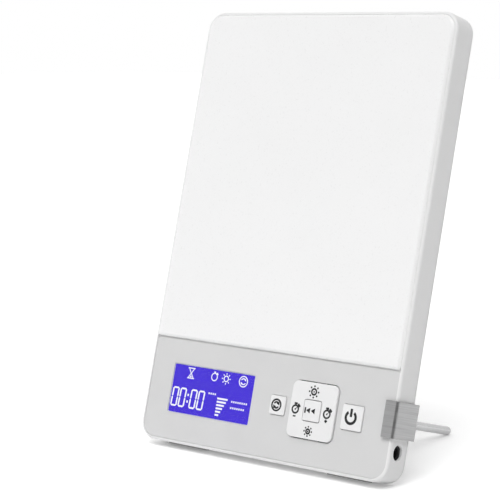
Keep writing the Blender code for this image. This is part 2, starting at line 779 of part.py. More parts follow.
def build_diffuser(group, material):
    """The opal plate: it stands proud of the rim, with a chamfer all round."""
    plate = diffuser_plate()
    face = FASCIA_BACK - DIFFUSER_THICKNESS
    edge = DIFFUSER_EDGE_ROUNDING
    layers = [
        (face, plate.grown(-DIFFUSER_CHAMFER - edge).points()),
        (face + edge * ROUNDING_MIDDLE_SHARE, plate.grown(-DIFFUSER_CHAMFER).points()),
        (face + DIFFUSER_CHAMFER_DEPTH, plate.grown(-edge * ROUNDING_MIDDLE_SHARE).points()),
        (face + DIFFUSER_CHAMFER_DEPTH + edge, plate.points()),
        (FASCIA_BACK, plate.points()),
    ]
    build_piece("diffuser_panel", group, material, lambda mesh: add_layers(mesh, layers), smooth=True)


def build_fascia(group, material):
    """The grey control plate with its display pocket, key openings and board bosses."""
    plate = fascia_plate()
    fascia = build_piece("control_fascia", group, material, lambda mesh: add_prism(
        mesh, plate.points(), FASCIA_RECESS, FASCIA_BACK), smooth=True)
    join(fascia, "board_bosses", group, build_board_bosses)
    cut(fascia, "board_pilots_cut", group, build_board_pilots)
    cut(fascia, "display_pocket_cut", group, lambda mesh: add_prism(
        mesh, display_opening().grown(DISPLAY_LIP).points(),
        FASCIA_RECESS - CUT_OVERRUN, FASCIA_RECESS + DISPLAY_POCKET_DEPTH))
    cut(fascia, "front_openings_cut", group, build_front_openings)
    return fascia


def build_board_bosses(mesh):
    for place in board_screw_places():
        add_rod(
            mesh, place, BOARD_BOSS_RADIUS, FASCIA_BACK - FASCIA_THICKNESS / 2, BOARD_PARTS_BACK,
            sides=SMALL_SIDES)


def build_board_pilots(mesh):
    end = BOARD_BACK - BOARD_SCREW_LENGTH
    for place in board_screw_places():
        add_rod(mesh, place, BOARD_SCREW_RADIUS + GAP, end - GAP, PANEL_DEPTH, sides=SMALL_SIDES)


def build_front_openings(mesh):
    low, high = FASCIA_RECESS - CUT_OVERRUN, FASCIA_BACK + CUT_OVERRUN
    openings = (
        display_opening(),
        key_plate(MODE_KEY_X, MODE_KEY_SIZE).grown(KEY_CLEARANCE),
        key_plate(POWER_KEY_X, POWER_KEY_SIZE).grown(KEY_CLEARANCE),
        key_plate(PAD_X, PAD_SIZE, PAD_CORNER).grown(KEY_CLEARANCE),
    )
    for opening in openings:
        add_prism(mesh, opening.points(), low, high)


# Display

def build_display(group, materials):
    opening = display_opening()
    window_front = FASCIA_RECESS
    window_back = window_front + DISPLAY_WINDOW_THICKNESS
    cell_front = FASCIA_RECESS + DISPLAY_POCKET_DEPTH
    cell_back = cell_front + DISPLAY_CELL_THICKNESS
    build_piece("lcd_window", group, materials["clear_plastic"], lambda mesh: add_prism(
        mesh, opening.grown(DISPLAY_LIP - GAP).points(), window_front, window_back))
    build_piece("lcd_glass", group, materials["display_blue"], lambda mesh: add_prism(
        mesh, opening.grown(-GAP).points(), cell_front, cell_back))
    build_piece("lcd_backlight", group, materials["milky_plastic"], lambda mesh: add_prism(
        mesh, opening.grown(BACKLIGHT_BORDER).points(), cell_back + GAP, BOARD_PARTS_BACK))


# Keys

def build_key(name, group, material, x, size):
    """A square key: rounded cap, flange behind the fascia, round plunger down to its switch."""
    face = FASCIA_RECESS - KEY_PROUD
    cap = key_plate(x, size)
    flange_front = FASCIA_BACK + GAP
    flange_back = flange_front + KEY_FLANGE_THICKNESS
    cap_front = list(reversed(rounded_layers(cap, face + KEY_EDGE, face, KEY_EDGE)))
    key = build_piece(name, group, material, lambda mesh: add_layers(
        mesh, cap_front + [(flange_back - KEY_FLANGE_THICKNESS / 2, cap.points())]), smooth=True)
    join(key, name + "_flange", group, lambda mesh: add_prism(
        mesh, cap.grown(KEY_FLANGE).points(), flange_front, flange_back))
    join(key, name + "_plunger", group, lambda mesh: add_rod(
        mesh, (x, CONTROL_LINE), KEY_PLUNGER_RADIUS, flange_back - KEY_FLANGE_THICKNESS / 2, PLUNGER_END,
        sides=SMALL_SIDES))
    return key


def build_reset_key(group, material):
    """The square key in the pad's middle: its flange lies under the pad, which holds it in."""
    face = FASCIA_RECESS - RESET_KEY_PROUD
    cap = key_plate(PAD_X, RESET_KEY_SIZE)
    pad_back = FASCIA_RECESS - PAD_PROUD + PAD_THICKNESS
    flange_front = pad_back + RESET_FLANGE_DROP
    flange_back = flange_front + RESET_FLANGE_THICKNESS
    cap_front = list(reversed(rounded_layers(cap, face + KEY_EDGE, face, KEY_EDGE)))
    key = build_piece("reset_button", group, material, lambda mesh: add_layers(
        mesh, cap_front + [(flange_front + RESET_FLANGE_THICKNESS / 2, cap.points())]), smooth=True)
    join(key, "reset_flange", group, lambda mesh: add_prism(
        mesh, cap.grown(RESET_FLANGE).points(), flange_front, flange_back))
    plunger_start = flange_front + RESET_FLANGE_THICKNESS / 2
    join(key, "reset_plunger", group, lambda mesh: add_rod(
        mesh, (PAD_X, CONTROL_LINE), KEY_PLUNGER_RADIUS, plunger_start, PLUNGER_END, sides=SMALL_SIDES))
    return key


def build_switch(name, group, moving_group, material, place):
    """A square switch on the board with a round well, and its stem, which the key above pushes in."""
    x, z = place
    half = SWITCH_SIZE / 2
    body = build_piece(name + "_switch_body", group, material, lambda mesh: add_box(
        mesh, (x - half, x + half), (SWITCH_TOP, BOARD_PARTS_BACK), (z - half, z + half)))
    cut(body, name + "_well_cut", group, lambda mesh: add_rod(
        mesh, place, SWITCH_WELL_RADIUS, SWITCH_TOP - CUT_OVERRUN, SWITCH_TOP + SWITCH_WELL_DEPTH,
        sides=SMALL_SIDES))
    stem_end = SWITCH_TOP + SWITCH_STEM_SUNK
    build_piece(name + "_switch_stem", moving_group, material, lambda mesh: add_rod(
        mesh, place, SWITCH_STEM_RADIUS, STEM_TOP, stem_end, sides=SMALL_SIDES), smooth=True)


def build_pad(group, material):
    """The four-way plate: square hole for the middle key, four feet with holding tabs, two hinge lugs."""
    face = FASCIA_RECESS - PAD_PROUD
    back = face + PAD_THICKNESS
    plate = key_plate(PAD_X, PAD_SIZE, PAD_CORNER)
    layers = list(reversed(rounded_layers(plate, face + KEY_EDGE, face, KEY_EDGE)))
    pad = build_piece("four_way_pad", group, material, lambda mesh: add_layers(
        mesh, layers + [(back, plate.points())]), smooth=True)
    join(pad, "pad_feet", group, lambda mesh: build_pad_feet(mesh, back - PAD_THICKNESS / 2))
    join(pad, "pad_tabs", group, build_pad_tabs)
    join(pad, "pad_lugs", group, lambda mesh: build_pad_lugs(mesh, back - PAD_THICKNESS / 2))
    cut(pad, "pad_hole_cut", group, lambda mesh: add_prism(
        mesh, key_plate(PAD_X, RESET_KEY_SIZE).grown(KEY_CLEARANCE).points(),
        face - CUT_OVERRUN, back + CUT_OVERRUN))
    cut(pad, "pad_pin_cut", group, lambda mesh: add_rod(
        mesh, (PAD_X, ROCKER_DEPTH), ROCKER_PIN_RADIUS + GAP,
        CONTROL_LINE - PAD_REACH, CONTROL_LINE + PAD_REACH, "Z", SMALL_SIDES))
    return pad


def build_pad_feet(mesh, start):
    for place in pad_places().values():
        add_rod(mesh, place, KEY_PLUNGER_RADIUS, start, PLUNGER_END, sides=SMALL_SIDES)


def build_pad_tabs(mesh):
    """Tabs that reach out behind the fascia and keep the pad in its opening."""
    low = FASCIA_BACK + PAD_TAB_DROP
    high = low + PAD_TAB_THICKNESS
    half = PAD_TAB_WIDTH / 2
    for side in (-1, 1):
        reach = PAD_SIZE / 2 + PAD_TAB_LENGTH
        across = sorted((PAD_X + side * PAD_REACH, PAD_X + side * reach))
        up = sorted((CONTROL_LINE + side * PAD_REACH, CONTROL_LINE + side * reach))
        add_box(mesh, across, (low, high), (CONTROL_LINE - half, CONTROL_LINE + half))
        add_box(mesh, (PAD_X - half, PAD_X + half), (low, high), up)


def build_pad_lugs(mesh, start):
    end = ROCKER_DEPTH + ROCKER_EAR_RISE
    half = ROCKER_EAR_HALF_WIDTH
    for side in (-1, 1):
        up = sorted((CONTROL_LINE + side * EAR_INNER, CONTROL_LINE + side * EAR_OUTER))
        add_box(mesh, (PAD_X - half, PAD_X + half), (start, end), up)


def build_rocker_ring(group, material):
    """The cross pivot: a square ring with a pair of pins each way."""
    low = ROCKER_DEPTH - ROCKER_THICKNESS / 2
    high = ROCKER_DEPTH + ROCKER_THICKNESS / 2
    outer = key_plate(PAD_X, 2 * ROCKER_HALF)
    inner = key_plate(PAD_X, 2 * ROCKER_BORE_HALF)
    ring = build_piece("pad_rocker_ring", group, material, lambda mesh: add_frame(
        mesh, outer.points(), inner.points(), low, high))
    start = (ROCKER_HALF + ROCKER_BORE_HALF) / 2
    end = EAR_OUTER + GAP

    def build_pins(mesh):
        for side in (-1, 1):
            across = sorted((PAD_X + side * start, PAD_X + side * end))
            up = sorted((CONTROL_LINE + side * start, CONTROL_LINE + side * end))
            add_rod(mesh, (ROCKER_DEPTH, CONTROL_LINE), ROCKER_PIN_RADIUS, *across, "X", SMALL_SIDES)
            add_rod(mesh, (PAD_X, ROCKER_DEPTH), ROCKER_PIN_RADIUS, *up, "Z", SMALL_SIDES)

    join(ring, "rocker_pins", group, build_pins)
    return ring


def build_pivot_base(group, material):
    """The frame on the board that carries the rocker ring between two ears."""
    low = BOARD_PARTS_BACK - PIVOT_BASE_THICKNESS
    outer = Plate(
        PAD_X - EAR_OUTER, PAD_X + EAR_OUTER, CONTROL_LINE - PIVOT_BASE_HALF_HEIGHT,
        CONTROL_LINE + PIVOT_BASE_HALF_HEIGHT, KEY_CORNER)
    inner = key_plate(PAD_X, SWITCH_SIZE).grown(KEY_CLEARANCE)
    base = build_piece("pad_pivot_base", group, material, lambda mesh: add_frame(
        mesh, outer.points(), inner.points(), low, BOARD_PARTS_BACK))
    half = ROCKER_EAR_HALF_WIDTH

    def build_ears(mesh):
        for side in (-1, 1):
            across = sorted((PAD_X + side * EAR_INNER, PAD_X + side * EAR_OUTER))
            add_box(
                mesh, across, (ROCKER_DEPTH - ROCKER_EAR_RISE, low + PIVOT_BASE_THICKNESS / 2),
                (CONTROL_LINE - half, CONTROL_LINE + half))

    join(base, "pivot_ears", group, build_ears)
    cut(base, "pivot_pin_cut", group, lambda mesh: add_rod(
        mesh, (ROCKER_DEPTH, CONTROL_LINE), ROCKER_PIN_RADIUS + GAP,
        PAD_X - PAD_REACH, PAD_X + PAD_REACH, "X", SMALL_SIDES))
    return base


# Board and what it carries

def build_board(group, materials):
    """The circuit board, its screws and the parts soldered to its front."""
    window = control_window()
    outline = Plate(
        window.left - BOARD_LEFT_OVERLAP, window.right + BOARD_RIGHT_OVERLAP,
        BOARD_BOTTOM, BOARD_TOP, BOARD_CORNER)
    board = build_piece("control_board", group, materials["board_green"], lambda mesh: add_prism(
        mesh, outline.points(), BOARD_FRONT, BOARD_BACK))

    def build_holes(mesh):
        for place in board_screw_places():
            add_rod(
                mesh, place, BOARD_SCREW_RADIUS + GAP, BOARD_FRONT - CUT_OVERRUN, BOARD_BACK + CUT_OVERRUN,
                sides=SMALL_SIDES)

    cut(board, "board_holes_cut", group, build_holes)
    head = BOARD_BACK + GAP
    screw = [
        (BOARD_BACK - BOARD_SCREW_LENGTH, BOARD_SCREW_RADIUS),
        (head, BOARD_SCREW_RADIUS),
        (head, BOARD_SCREW_HEAD_RADIUS),
        (head + BOARD_SCREW_HEAD_HEIGHT / 2, BOARD_SCREW_HEAD_RADIUS),
        (head + BOARD_SCREW_HEAD_HEIGHT, BOARD_SCREW_RADIUS),
    ]
    zinc = materials["zinc_steel"]
    for number, place in enumerate(board_screw_places(), 1):
        build_piece("board_screw_%d" % number, group, zinc, lambda mesh, place=place: add_turned(
            mesh, place, screw, sides=SMALL_SIDES), smooth=True)
    build_piece("microcontroller", group, materials["black_plastic"], lambda mesh: add_prism(
        mesh, centred_plate(CHIP_X, CHIP_Z, CHIP_SIZE, CHIP_SIZE, BOARD_CORNER).points(),
        BOARD_PARTS_BACK - CHIP_THICKNESS, BOARD_PARTS_BACK))
    build_inductor(group, materials["black_plastic"])
    build_capacitors(group, materials["aluminium_sheet"])
    build_buzzer(group, materials["black_plastic"])


def build_inductor(group, material):
    """A wound drum between two square plates."""
    top = BOARD_PARTS_BACK - INDUCTOR_HEIGHT
    plate = centred_plate(INDUCTOR_X, INDUCTOR_Z, INDUCTOR_SIZE, INDUCTOR_SIZE, BOARD_CORNER)
    inductor = build_piece("driver_inductor", group, material, lambda mesh: add_prism(
        mesh, plate.points(), BOARD_PARTS_BACK - INDUCTOR_BASE, BOARD_PARTS_BACK))
    join(inductor, "inductor_core", group, lambda mesh: add_rod(
        mesh, (INDUCTOR_X, INDUCTOR_Z), INDUCTOR_CORE_RADIUS,
        top + INDUCTOR_BASE / 2, BOARD_PARTS_BACK - INDUCTOR_BASE / 2))
    join(inductor, "inductor_top", group, lambda mesh: add_prism(
        mesh, plate.points(), top, top + INDUCTOR_BASE))


def build_capacitors(group, material):
    """Two upright cans with a crimped neck near the board."""
    top = BOARD_PARTS_BACK - CAPACITOR_HEIGHT
    neck = BOARD_PARTS_BACK - 2 * CAPACITOR_NECK_HEIGHT
    profile = [
        (top, CAPACITOR_RADIUS - CAPACITOR_NECK),
        (top + CAPACITOR_NECK, CAPACITOR_RADIUS),
        (neck, CAPACITOR_RADIUS),
        (neck + CAPACITOR_NECK_HEIGHT / 2, CAPACITOR_RADIUS - CAPACITOR_NECK),
        (neck + CAPACITOR_NECK_HEIGHT, CAPACITOR_RADIUS),
        (BOARD_PARTS_BACK, CAPACITOR_RADIUS),
    ]
    for number in (1, 2):
        place = (CAPACITOR_X, CONTROL_LINE + (number - 1) * CAPACITOR_PITCH)
        build_piece("filter_capacitor_%d" % number, group, material, lambda mesh, place=place: add_turned(
            mesh, place, profile), smooth=True)


def build_buzzer(group, material):
    top = BOARD_PARTS_BACK - BUZZER_HEIGHT
    buzzer = build_piece("piezo_buzzer", group, material, lambda mesh: add_rod(
        mesh, (BUZZER_X, BUZZER_Z), BUZZER_RADIUS, top, BOARD_PARTS_BACK), smooth=True)
    cut(buzzer, "buzzer_hole_cut", group, lambda mesh: add_rod(
        mesh, (BUZZER_X, BUZZER_Z), BUZZER_HOLE_RADIUS, top - CUT_OVERRUN, top + BUZZER_HOLE_DEPTH,
        sides=SMALL_SIDES))


def build_jack(group, materials):
    """The power inlet: a bored block on the board behind the side wall's hole, with its centre pin."""
    height = (JACK_Z - JACK_HALF_HEIGHT, JACK_Z + JACK_HALF_HEIGHT)
    jack = build_piece("dc_jack", group, materials["black_plastic"], lambda mesh: add_box(
        mesh, (JACK_BACK, JACK_MOUTH), (FASCIA_BACK + GAP, BOARD_PARTS_BACK), height))
    cut(jack, "jack_bore_cut", group, lambda mesh: add_rod(
        mesh, (JACK_Y, JACK_Z), JACK_BORE_RADIUS, JACK_BACK + JACK_BACK_WALL, JACK_MOUTH + CUT_OVERRUN, "X"))
    tip = HALF_WIDTH - JACK_PIN_RECESS
    profile = [
        (JACK_BACK + JACK_BACK_WALL + GAP, JACK_PIN_RADIUS),
        (tip - JACK_PIN_RADIUS / 2, JACK_PIN_RADIUS),
        (tip, JACK_PIN_RADIUS / 2),
    ]
    build_piece("dc_jack_pin", group, materials["tinned_metal"], lambda mesh: add_turned(
        mesh, (JACK_Y, JACK_Z), profile, "X", SMALL_SIDES), smooth=True)


# Light engine

def build_light_engine(group, materials):
    """Light guide, reflector and LED strips in an aluminium tray behind the ledge."""
    guide = (-GUIDE_HALF_WIDTH, GUIDE_HALF_WIDTH)
    guide_up = (GUIDE_BOTTOM, GUIDE_TOP)
    build_piece("light_guide_plate", group, materials["clear_plastic"], lambda mesh: add_box(
        mesh, guide, (GUIDE_FRONT, GUIDE_FRONT + GUIDE_THICKNESS), guide_up))
    build_piece("reflector_sheet", group, materials["milky_plastic"], lambda mesh: add_box(
        mesh, guide, (REFLECTOR_FRONT, REFLECTOR_FRONT + REFLECTOR_THICKNESS), guide_up))
    flange_front = LEDGE_BACK + GAP
    inner = TRAY_HALF_WIDTH - TRAY_THICKNESS
    profile = [
        (-TRAY_HALF_WIDTH, flange_front),
        (-inner, flange_front),
        (-inner, TRAY_FLOOR),
        (inner, TRAY_FLOOR),
        (inner, flange_front),
        (TRAY_HALF_WIDTH, flange_front),
        (TRAY_HALF_WIDTH, TRAY_BACK),
        (-TRAY_HALF_WIDTH, TRAY_BACK),
    ]
    build_piece("light_tray", group, materials["aluminium_sheet"], lambda mesh: add_prism(
        mesh, profile, TRAY_BOTTOM, TRAY_TOP, "Z"))
    for name, side in (("left", -1), ("right", 1)):
        build_led_strip(name, side, group, materials)
        build_lead("led_lead_" + name, side, group, materials["milky_plastic"])


def build_led_strip(name, side, group, materials):
    """A narrow board on the tray's flange with LED chips soldered on, facing the light guide's edge."""
    across = sorted((side * STRIP_INNER, side * STRIP_OUTER))
    bottom = TRAY_BOTTOM + STRIP_END_MARGIN
    top = TRAY_TOP - STRIP_END_MARGIN
    strip = build_piece("led_strip_" + name, group, materials["led_strip"], lambda mesh: add_box(
        mesh, across, (GUIDE_FRONT, TRAY_FLOOR - GAP), (bottom, top)))
    chip_back = side * (STRIP_INNER + STRIP_OUTER) / 2
    chip_face = sorted((side * (STRIP_INNER - CHIP_LED_THICKNESS), chip_back))
    middle = GUIDE_FRONT + GUIDE_THICKNESS / 2
    width = (middle - CHIP_LED_WIDTH / 2, middle + CHIP_LED_WIDTH / 2)

    def build_chips(mesh):
        for i in range(CHIP_LED_COUNT):
            z = bottom + (top - bottom) * (i + 0.5) / CHIP_LED_COUNT
            add_box(mesh, chip_face, width, (z - CHIP_LED_LENGTH / 2, z + CHIP_LED_LENGTH / 2))

    join(strip, "led_chips_" + name, group, build_chips)


def build_lead(name, side, group, material):
    """A wire from the board's top edge up to the lower end of the LED strip."""
    start_x = HALF_WIDTH - LEAD_INSET
    start = Vector((side * start_x, BOARD_PARTS_BACK - LEAD_RADIUS, BOARD_TOP - LEAD_DROP))
    strip_end = TRAY_BOTTOM + STRIP_END_MARGIN - GAP
    middle = (GUIDE_FRONT + TRAY_FLOOR) / 2
    end = Vector((side * (STRIP_INNER + STRIP_OUTER) / 2, middle, strip_end))
    curve = bpy.data.curves.new(name, "CURVE")
    curve.dimensions = "3D"
    curve.bevel_depth = LEAD_RADIUS
    curve.bevel_resolution = 2
    curve.use_fill_caps = True
    spline = curve.splines.new("POLY")
    spline.points.add(len(LEAD_BOW_SHARES) - 1)
    for point, shares in zip(spline.points, LEAD_BOW_SHARES):
        place = [start[i] + (end[i] - start[i]) * shares[i] for i in range(3)]
        point.co = (*place, 1.0)
    lead = bpy.data.objects.new(name, curve)
    bpy.context.collection.objects.link(lead)
    lead.parent = group["empty"]
    curve.materials.append(material)


# Clip and leg

def clip_outline():
    """The bent strip seen from above: front hook, side, back leaf, with its bends as arcs."""
    hook_inner = -CLIP_FRONT_CLEARANCE
    hook_outer = hook_inner - STRIP_METAL
    leaf_inner = LEAF_BACK - STRIP_METAL
    outer_radius = CLIP_BEND_RADIUS + STRIP_METAL
    centre_x = CLIP_OUTER_X - outer_radius
    front_y = hook_inner + CLIP_BEND_RADIUS
    back_y = leaf_inner - CLIP_BEND_RADIUS
    hook_end = CLIP_OUTER_X - CLIP_HOOK_LENGTH
    leaf_end = PIVOT_X - BRACKET_NEAR - CLIP_LEAF_MARGIN
    quarter = 0.5 * math.pi
    outline = [(hook_end, hook_outer)]
    outline += arc_points(centre_x, front_y, outer_radius, -quarter, 0.0, EDGE_STEPS)
    outline += arc_points(centre_x, back_y, outer_radius, 0.0, quarter, EDGE_STEPS)
    outline += [(leaf_end, LEAF_BACK), (leaf_end, leaf_inner)]
    outline += arc_points(centre_x, back_y, CLIP_BEND_RADIUS, quarter, 0.0, EDGE_STEPS)
    outline += arc_points(centre_x, front_y, CLIP_BEND_RADIUS, 0.0, -quarter, EDGE_STEPS)
    outline += [(hook_end, hook_inner)]
    return outline


def rivet_places():
    x = PIVOT_X + RIVET_INSET
    return ((x, ROD_Z - RIVET_SPREAD), (x, ROD_Z + RIVET_SPREAD))


def build_rivet_holes(mesh):
    low = PANEL_DEPTH
    for place in rivet_places():
        add_rod(mesh, place, RIVET_RADIUS + GAP, low, BRACKET_BACK + CUT_OVERRUN, sides=SMALL_SIDES)


def build_clip(group, materials):
    clip = build_piece("stand_clip", group, materials["brushed_steel"], lambda mesh: add_prism(
        mesh, clip_outline(), CLIP_BOTTOM, CLIP_BOTTOM + CLIP_HEIGHT, "Z"), smooth=True)
    cut(clip, "clip_rivets_cut", group, build_rivet_holes)
    pad = Plate(
        PIVOT_X + RIVET_INSET + RIVET_HEAD_RADIUS + CLIP_PAD_CLEARANCE, CLIP_OUTER_X - CLIP_PAD_START,
        CLIP_BOTTOM + CLIP_PAD_MARGIN, CLIP_BOTTOM + CLIP_HEIGHT - CLIP_PAD_MARGIN, CLIP_PAD_MARGIN)
    build_piece("clip_pad", group, materials["grey_rubber"], lambda mesh: add_prism(
        mesh, pad.points(), PANEL_DEPTH + GAP, LEAF_BACK - STRIP_METAL - GAP))
    build_bracket(group, materials["zinc_steel"])
    build_rivets(group, materials["polished_steel"])
    build_pivot_pin(group, materials["polished_steel"])


def ear_heights():
    """The two ears of the hinge, below and above the knuckle."""
    inner = KNUCKLE_HALF + GAP
    return (
        (ROD_Z - inner - EAR_THICKNESS, ROD_Z - inner),
        (ROD_Z + inner, ROD_Z + inner + EAR_THICKNESS),
    )


def ear_outline(start):
    """An ear seen from above: straight sides from the bracket, round about the pin."""
    end = arc_points(PIVOT_X, PIVOT_Y, EAR_HALF_WIDTH, 0.0, math.pi, 2 * EDGE_STEPS)
    return [(PIVOT_X - EAR_HALF_WIDTH, start), (PIVOT_X + EAR_HALF_WIDTH, start)] + end


def build_bracket(group, material):
    plate = Plate(
        PIVOT_X - BRACKET_NEAR, PIVOT_X + BRACKET_FAR, ROD_Z - BRACKET_HALF_HEIGHT,
        ROD_Z + BRACKET_HALF_HEIGHT, BRACKET_CORNER)
    bracket = build_piece("pivot_bracket", group, material, lambda mesh: add_prism(
        mesh, plate.points(), BRACKET_FRONT, BRACKET_BACK), smooth=True)

    def build_ears(mesh):
        for low, high in ear_heights():
            add_prism(mesh, ear_outline(BRACKET_BACK - BRACKET_THICKNESS / 2), low, high, "Z")

    join(bracket, "bracket_ears", group, build_ears)
    cut(bracket, "bracket_rivets_cut", group, build_rivet_holes)
    reach = KNUCKLE_HALF + EAR_THICKNESS + CUT_OVERRUN
    cut(bracket, "bracket_pin_cut", group, lambda mesh: add_rod(
        mesh, (PIVOT_X, PIVOT_Y), PIVOT_PIN_RADIUS + GAP, ROD_Z - reach, ROD_Z + reach, "Z"))


def build_rivets(group, material):
    inner_head = LEAF_BACK - STRIP_METAL - GAP
    outer_head = BRACKET_BACK + GAP
    profile = [
        (inner_head - RIVET_HEAD_HEIGHT, RIVET_RADIUS),
        (inner_head - RIVET_HEAD_HEIGHT / 2, RIVET_HEAD_RADIUS),
        (inner_head, RIVET_HEAD_RADIUS),
        (inner_head, RIVET_RADIUS),
        (outer_head, RIVET_RADIUS),
        (outer_head, RIVET_HEAD_RADIUS),
        (outer_head + RIVET_HEAD_HEIGHT / 2, RIVET_HEAD_RADIUS),
        (outer_head + RIVET_HEAD_HEIGHT, RIVET_RADIUS),
    ]
    for number, place in enumerate(rivet_places(), 1):
        build_piece("bracket_rivet_%d" % number, group, material, lambda mesh, place=place: add_turned(
            mesh, place, profile, sides=SMALL_SIDES), smooth=True)


def build_pivot_pin(group, material):
    """A headed pin through both ears and the knuckle."""
    face = KNUCKLE_HALF + GAP + EAR_THICKNESS + GAP
    rim = face + PIVOT_HEAD_HEIGHT / 2
    end = face + PIVOT_HEAD_HEIGHT
    profile = [
        (ROD_Z - end, PIVOT_PIN_RADIUS),
        (ROD_Z - rim, PIVOT_HEAD_RADIUS),
        (ROD_Z - face, PIVOT_HEAD_RADIUS),
        (ROD_Z - face, PIVOT_PIN_RADIUS),
        (ROD_Z + face, PIVOT_PIN_RADIUS),
        (ROD_Z + face, PIVOT_HEAD_RADIUS),
        (ROD_Z + rim, PIVOT_HEAD_RADIUS),
        (ROD_Z + end, PIVOT_PIN_RADIUS),
    ]
    build_piece("leg_pivot_pin", group, material, lambda mesh: add_turned(
        mesh, (PIVOT_X, PIVOT_Y), profile, "Z"), smooth=True)


def knuckle_outline():
    """The knuckle seen from above. Two flats on the bracket's side stop the leg, square out and folded
    flat, and the round corner between them lets it turn from one to the other."""
    half = KNUCKLE_HALF
    end = PIVOT_Y + KNUCKLE_LENGTH
    chamfer = KNUCKLE_END_CHAMFER
    outline = arc_points(PIVOT_X, PIVOT_Y, half, math.pi, 1.5 * math.pi, CORNER_STEPS)
    outline += [
        (PIVOT_X + half, PIVOT_Y - half),
        (PIVOT_X + half, end - chamfer),
        (PIVOT_X + half - chamfer, end),
        (PIVOT_X - half + chamfer, end),
        (PIVOT_X - half, end - chamfer),
    ]
    return outline


def build_leg(group, materials):
    """The knuckle on the pin, and the turned rod screwed into its end."""
    knuckle = build_piece("leg_knuckle", group, materials["zinc_steel"], lambda mesh: add_prism(
        mesh, knuckle_outline(), ROD_Z - KNUCKLE_HALF, ROD_Z + KNUCKLE_HALF, "Z"), smooth=True)
    reach = KNUCKLE_HALF + CUT_OVERRUN
    cut(knuckle, "knuckle_pin_cut", group, lambda mesh: add_rod(
        mesh, (PIVOT_X, PIVOT_Y), PIVOT_PIN_RADIUS + GAP, ROD_Z - reach, ROD_Z + reach, "Z"))
    end = PIVOT_Y + KNUCKLE_LENGTH
    shoulder = end + GAP
    spigot = shoulder - ROD_SPIGOT_LENGTH
    cut(knuckle, "knuckle_socket_cut", group, lambda mesh: add_rod(
        mesh, (PIVOT_X, ROD_Z), ROD_SPIGOT_RADIUS + GAP, spigot - GAP, end + CUT_OVERRUN, sides=SMALL_SIDES))
    tip = PIVOT_Y + ROD_REACH
    profile = [
        (spigot, ROD_SPIGOT_RADIUS),
        (shoulder, ROD_SPIGOT_RADIUS),
        (shoulder, ROD_RADIUS - ROD_SHOULDER_CHAMFER),
        (shoulder + ROD_SHOULDER_CHAMFER, ROD_RADIUS),
    ]
    steps = 2 * EDGE_STEPS
    for i in range(steps):
        angle = 0.5 * math.pi * i / steps
        profile.append((tip + ROD_RADIUS * math.sin(angle), ROD_RADIUS * math.cos(angle)))
    build_piece("leg_rod", group, materials["polished_steel"], lambda mesh: add_turned(
        mesh, (PIVOT_X, ROD_Z), profile), smooth=True)


# Standing the lamp on its leg

def lean_angle():
    """The lean at which the feet's rear edge and the rod's round tip touch one level surface."""
    heel_y = FOOT_FRONT + FOOT_WIDTH
    back = PIVOT_Y + ROD_REACH - heel_y
    up = ROD_Z + FOOT_PROUD
    return math.atan2(up, back) - math.asin(ROD_RADIUS / math.hypot(up, back))


def stand_on_origin(panel):
    """Leans the lamp back, then moves its box's bottom middle to the origin."""
    panel.rotation_euler.x = -lean_angle()
    bpy.context.view_layer.update()
    graph = bpy.context.evaluated_depsgraph_get()
    low = Vector((math.inf,) * 3)
    high = -low
    for piece in bpy.context.scene.objects:
        if piece.type == "EMPTY" or piece.hide_render:
            continue
        evaluated = piece.evaluated_get(graph)
        mesh = evaluated.to_mesh()
        for vertex in mesh.vertices:
            place = evaluated.matrix_world @ vertex.co
            low = Vector(map(min, low, place))
            high = Vector(map(max, high, place))
        evaluated.to_mesh_clear()
    panel.location = (-(low.x + high.x) / 2, -(low.y + high.y) / 2, -low.z)


def main():
    for old in list(bpy.data.objects):
        bpy.data.objects.remove(old)
    materials = make_materials()
    panel = make_group("lamp_panel", (0.0, 0.0, 0.0))
    pad_centre = (PAD_X, ROCKER_DEPTH, CONTROL_LINE)
    tilt = make_group("pad_tilt_axis", pad_centre, panel["empty"])
    sway = make_group("pad_sway_axis", pad_centre, tilt["empty"], pad_centre)
    clip = make_group("clip_slide", (CLIP_OUTER_X, 0.0, CLIP_BOTTOM), panel["empty"])
    leg = make_group("leg_axis", (PIVOT_X, PIVOT_Y, ROD_Z), clip["empty"], clip["point"])

    build_front_housing(panel, materials["white_plastic"])
    build_rear_cover(panel, materials["white_plastic"])
    build_housing_screws(panel, materials["zinc_steel"])
    build_feet(panel, materials["grey_rubber"])
    build_diffuser(panel, materials["opal_plate"])
    build_fascia(panel, materials["grey_fascia"])
    build_display(panel, materials)
    build_board(panel, materials)
    build_jack(panel, materials)
    build_light_engine(panel, materials)
    build_pivot_base(panel, materials["milky_plastic"])

    black = materials["black_plastic"]
    for name, x, size in (("power", POWER_KEY_X, POWER_KEY_SIZE), ("mode", MODE_KEY_X, MODE_KEY_SIZE)):
        slide = make_group(name + "_key_slide", (x, 0.0, CONTROL_LINE), panel["empty"])
        build_key(name + "_button", slide, materials["key_plastic"], x, size)
        build_switch(name, panel, slide, black, (x, CONTROL_LINE))
    reset = make_group("reset_key_slide", (PAD_X, 0.0, CONTROL_LINE), panel["empty"])
    build_reset_key(reset, materials["key_plastic"])
    build_switch("reset", panel, reset, black, (PAD_X, CONTROL_LINE))
    build_rocker_ring(tilt, materials["milky_plastic"])
    build_pad(sway, materials["key_plastic"])
    for name, place in pad_places().items():
        build_switch("pad_" + name, panel, sway, black, place)

    build_clip(clip, materials)
    build_leg(leg, materials)
    stand_on_origin(panel["empty"])


main()
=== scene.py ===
"""Light therapy lamp: the visible pieces, their finishes, the camera and the light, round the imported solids.

Each new piece is modelled upright in the panel's own frame: X to the right, Y from the front rim to the
back and Z up, from the middle of the front rim's lower edge. It is then stood in its place, leaning back
with the lamp. All lengths are in metres.
"""

import json
import math

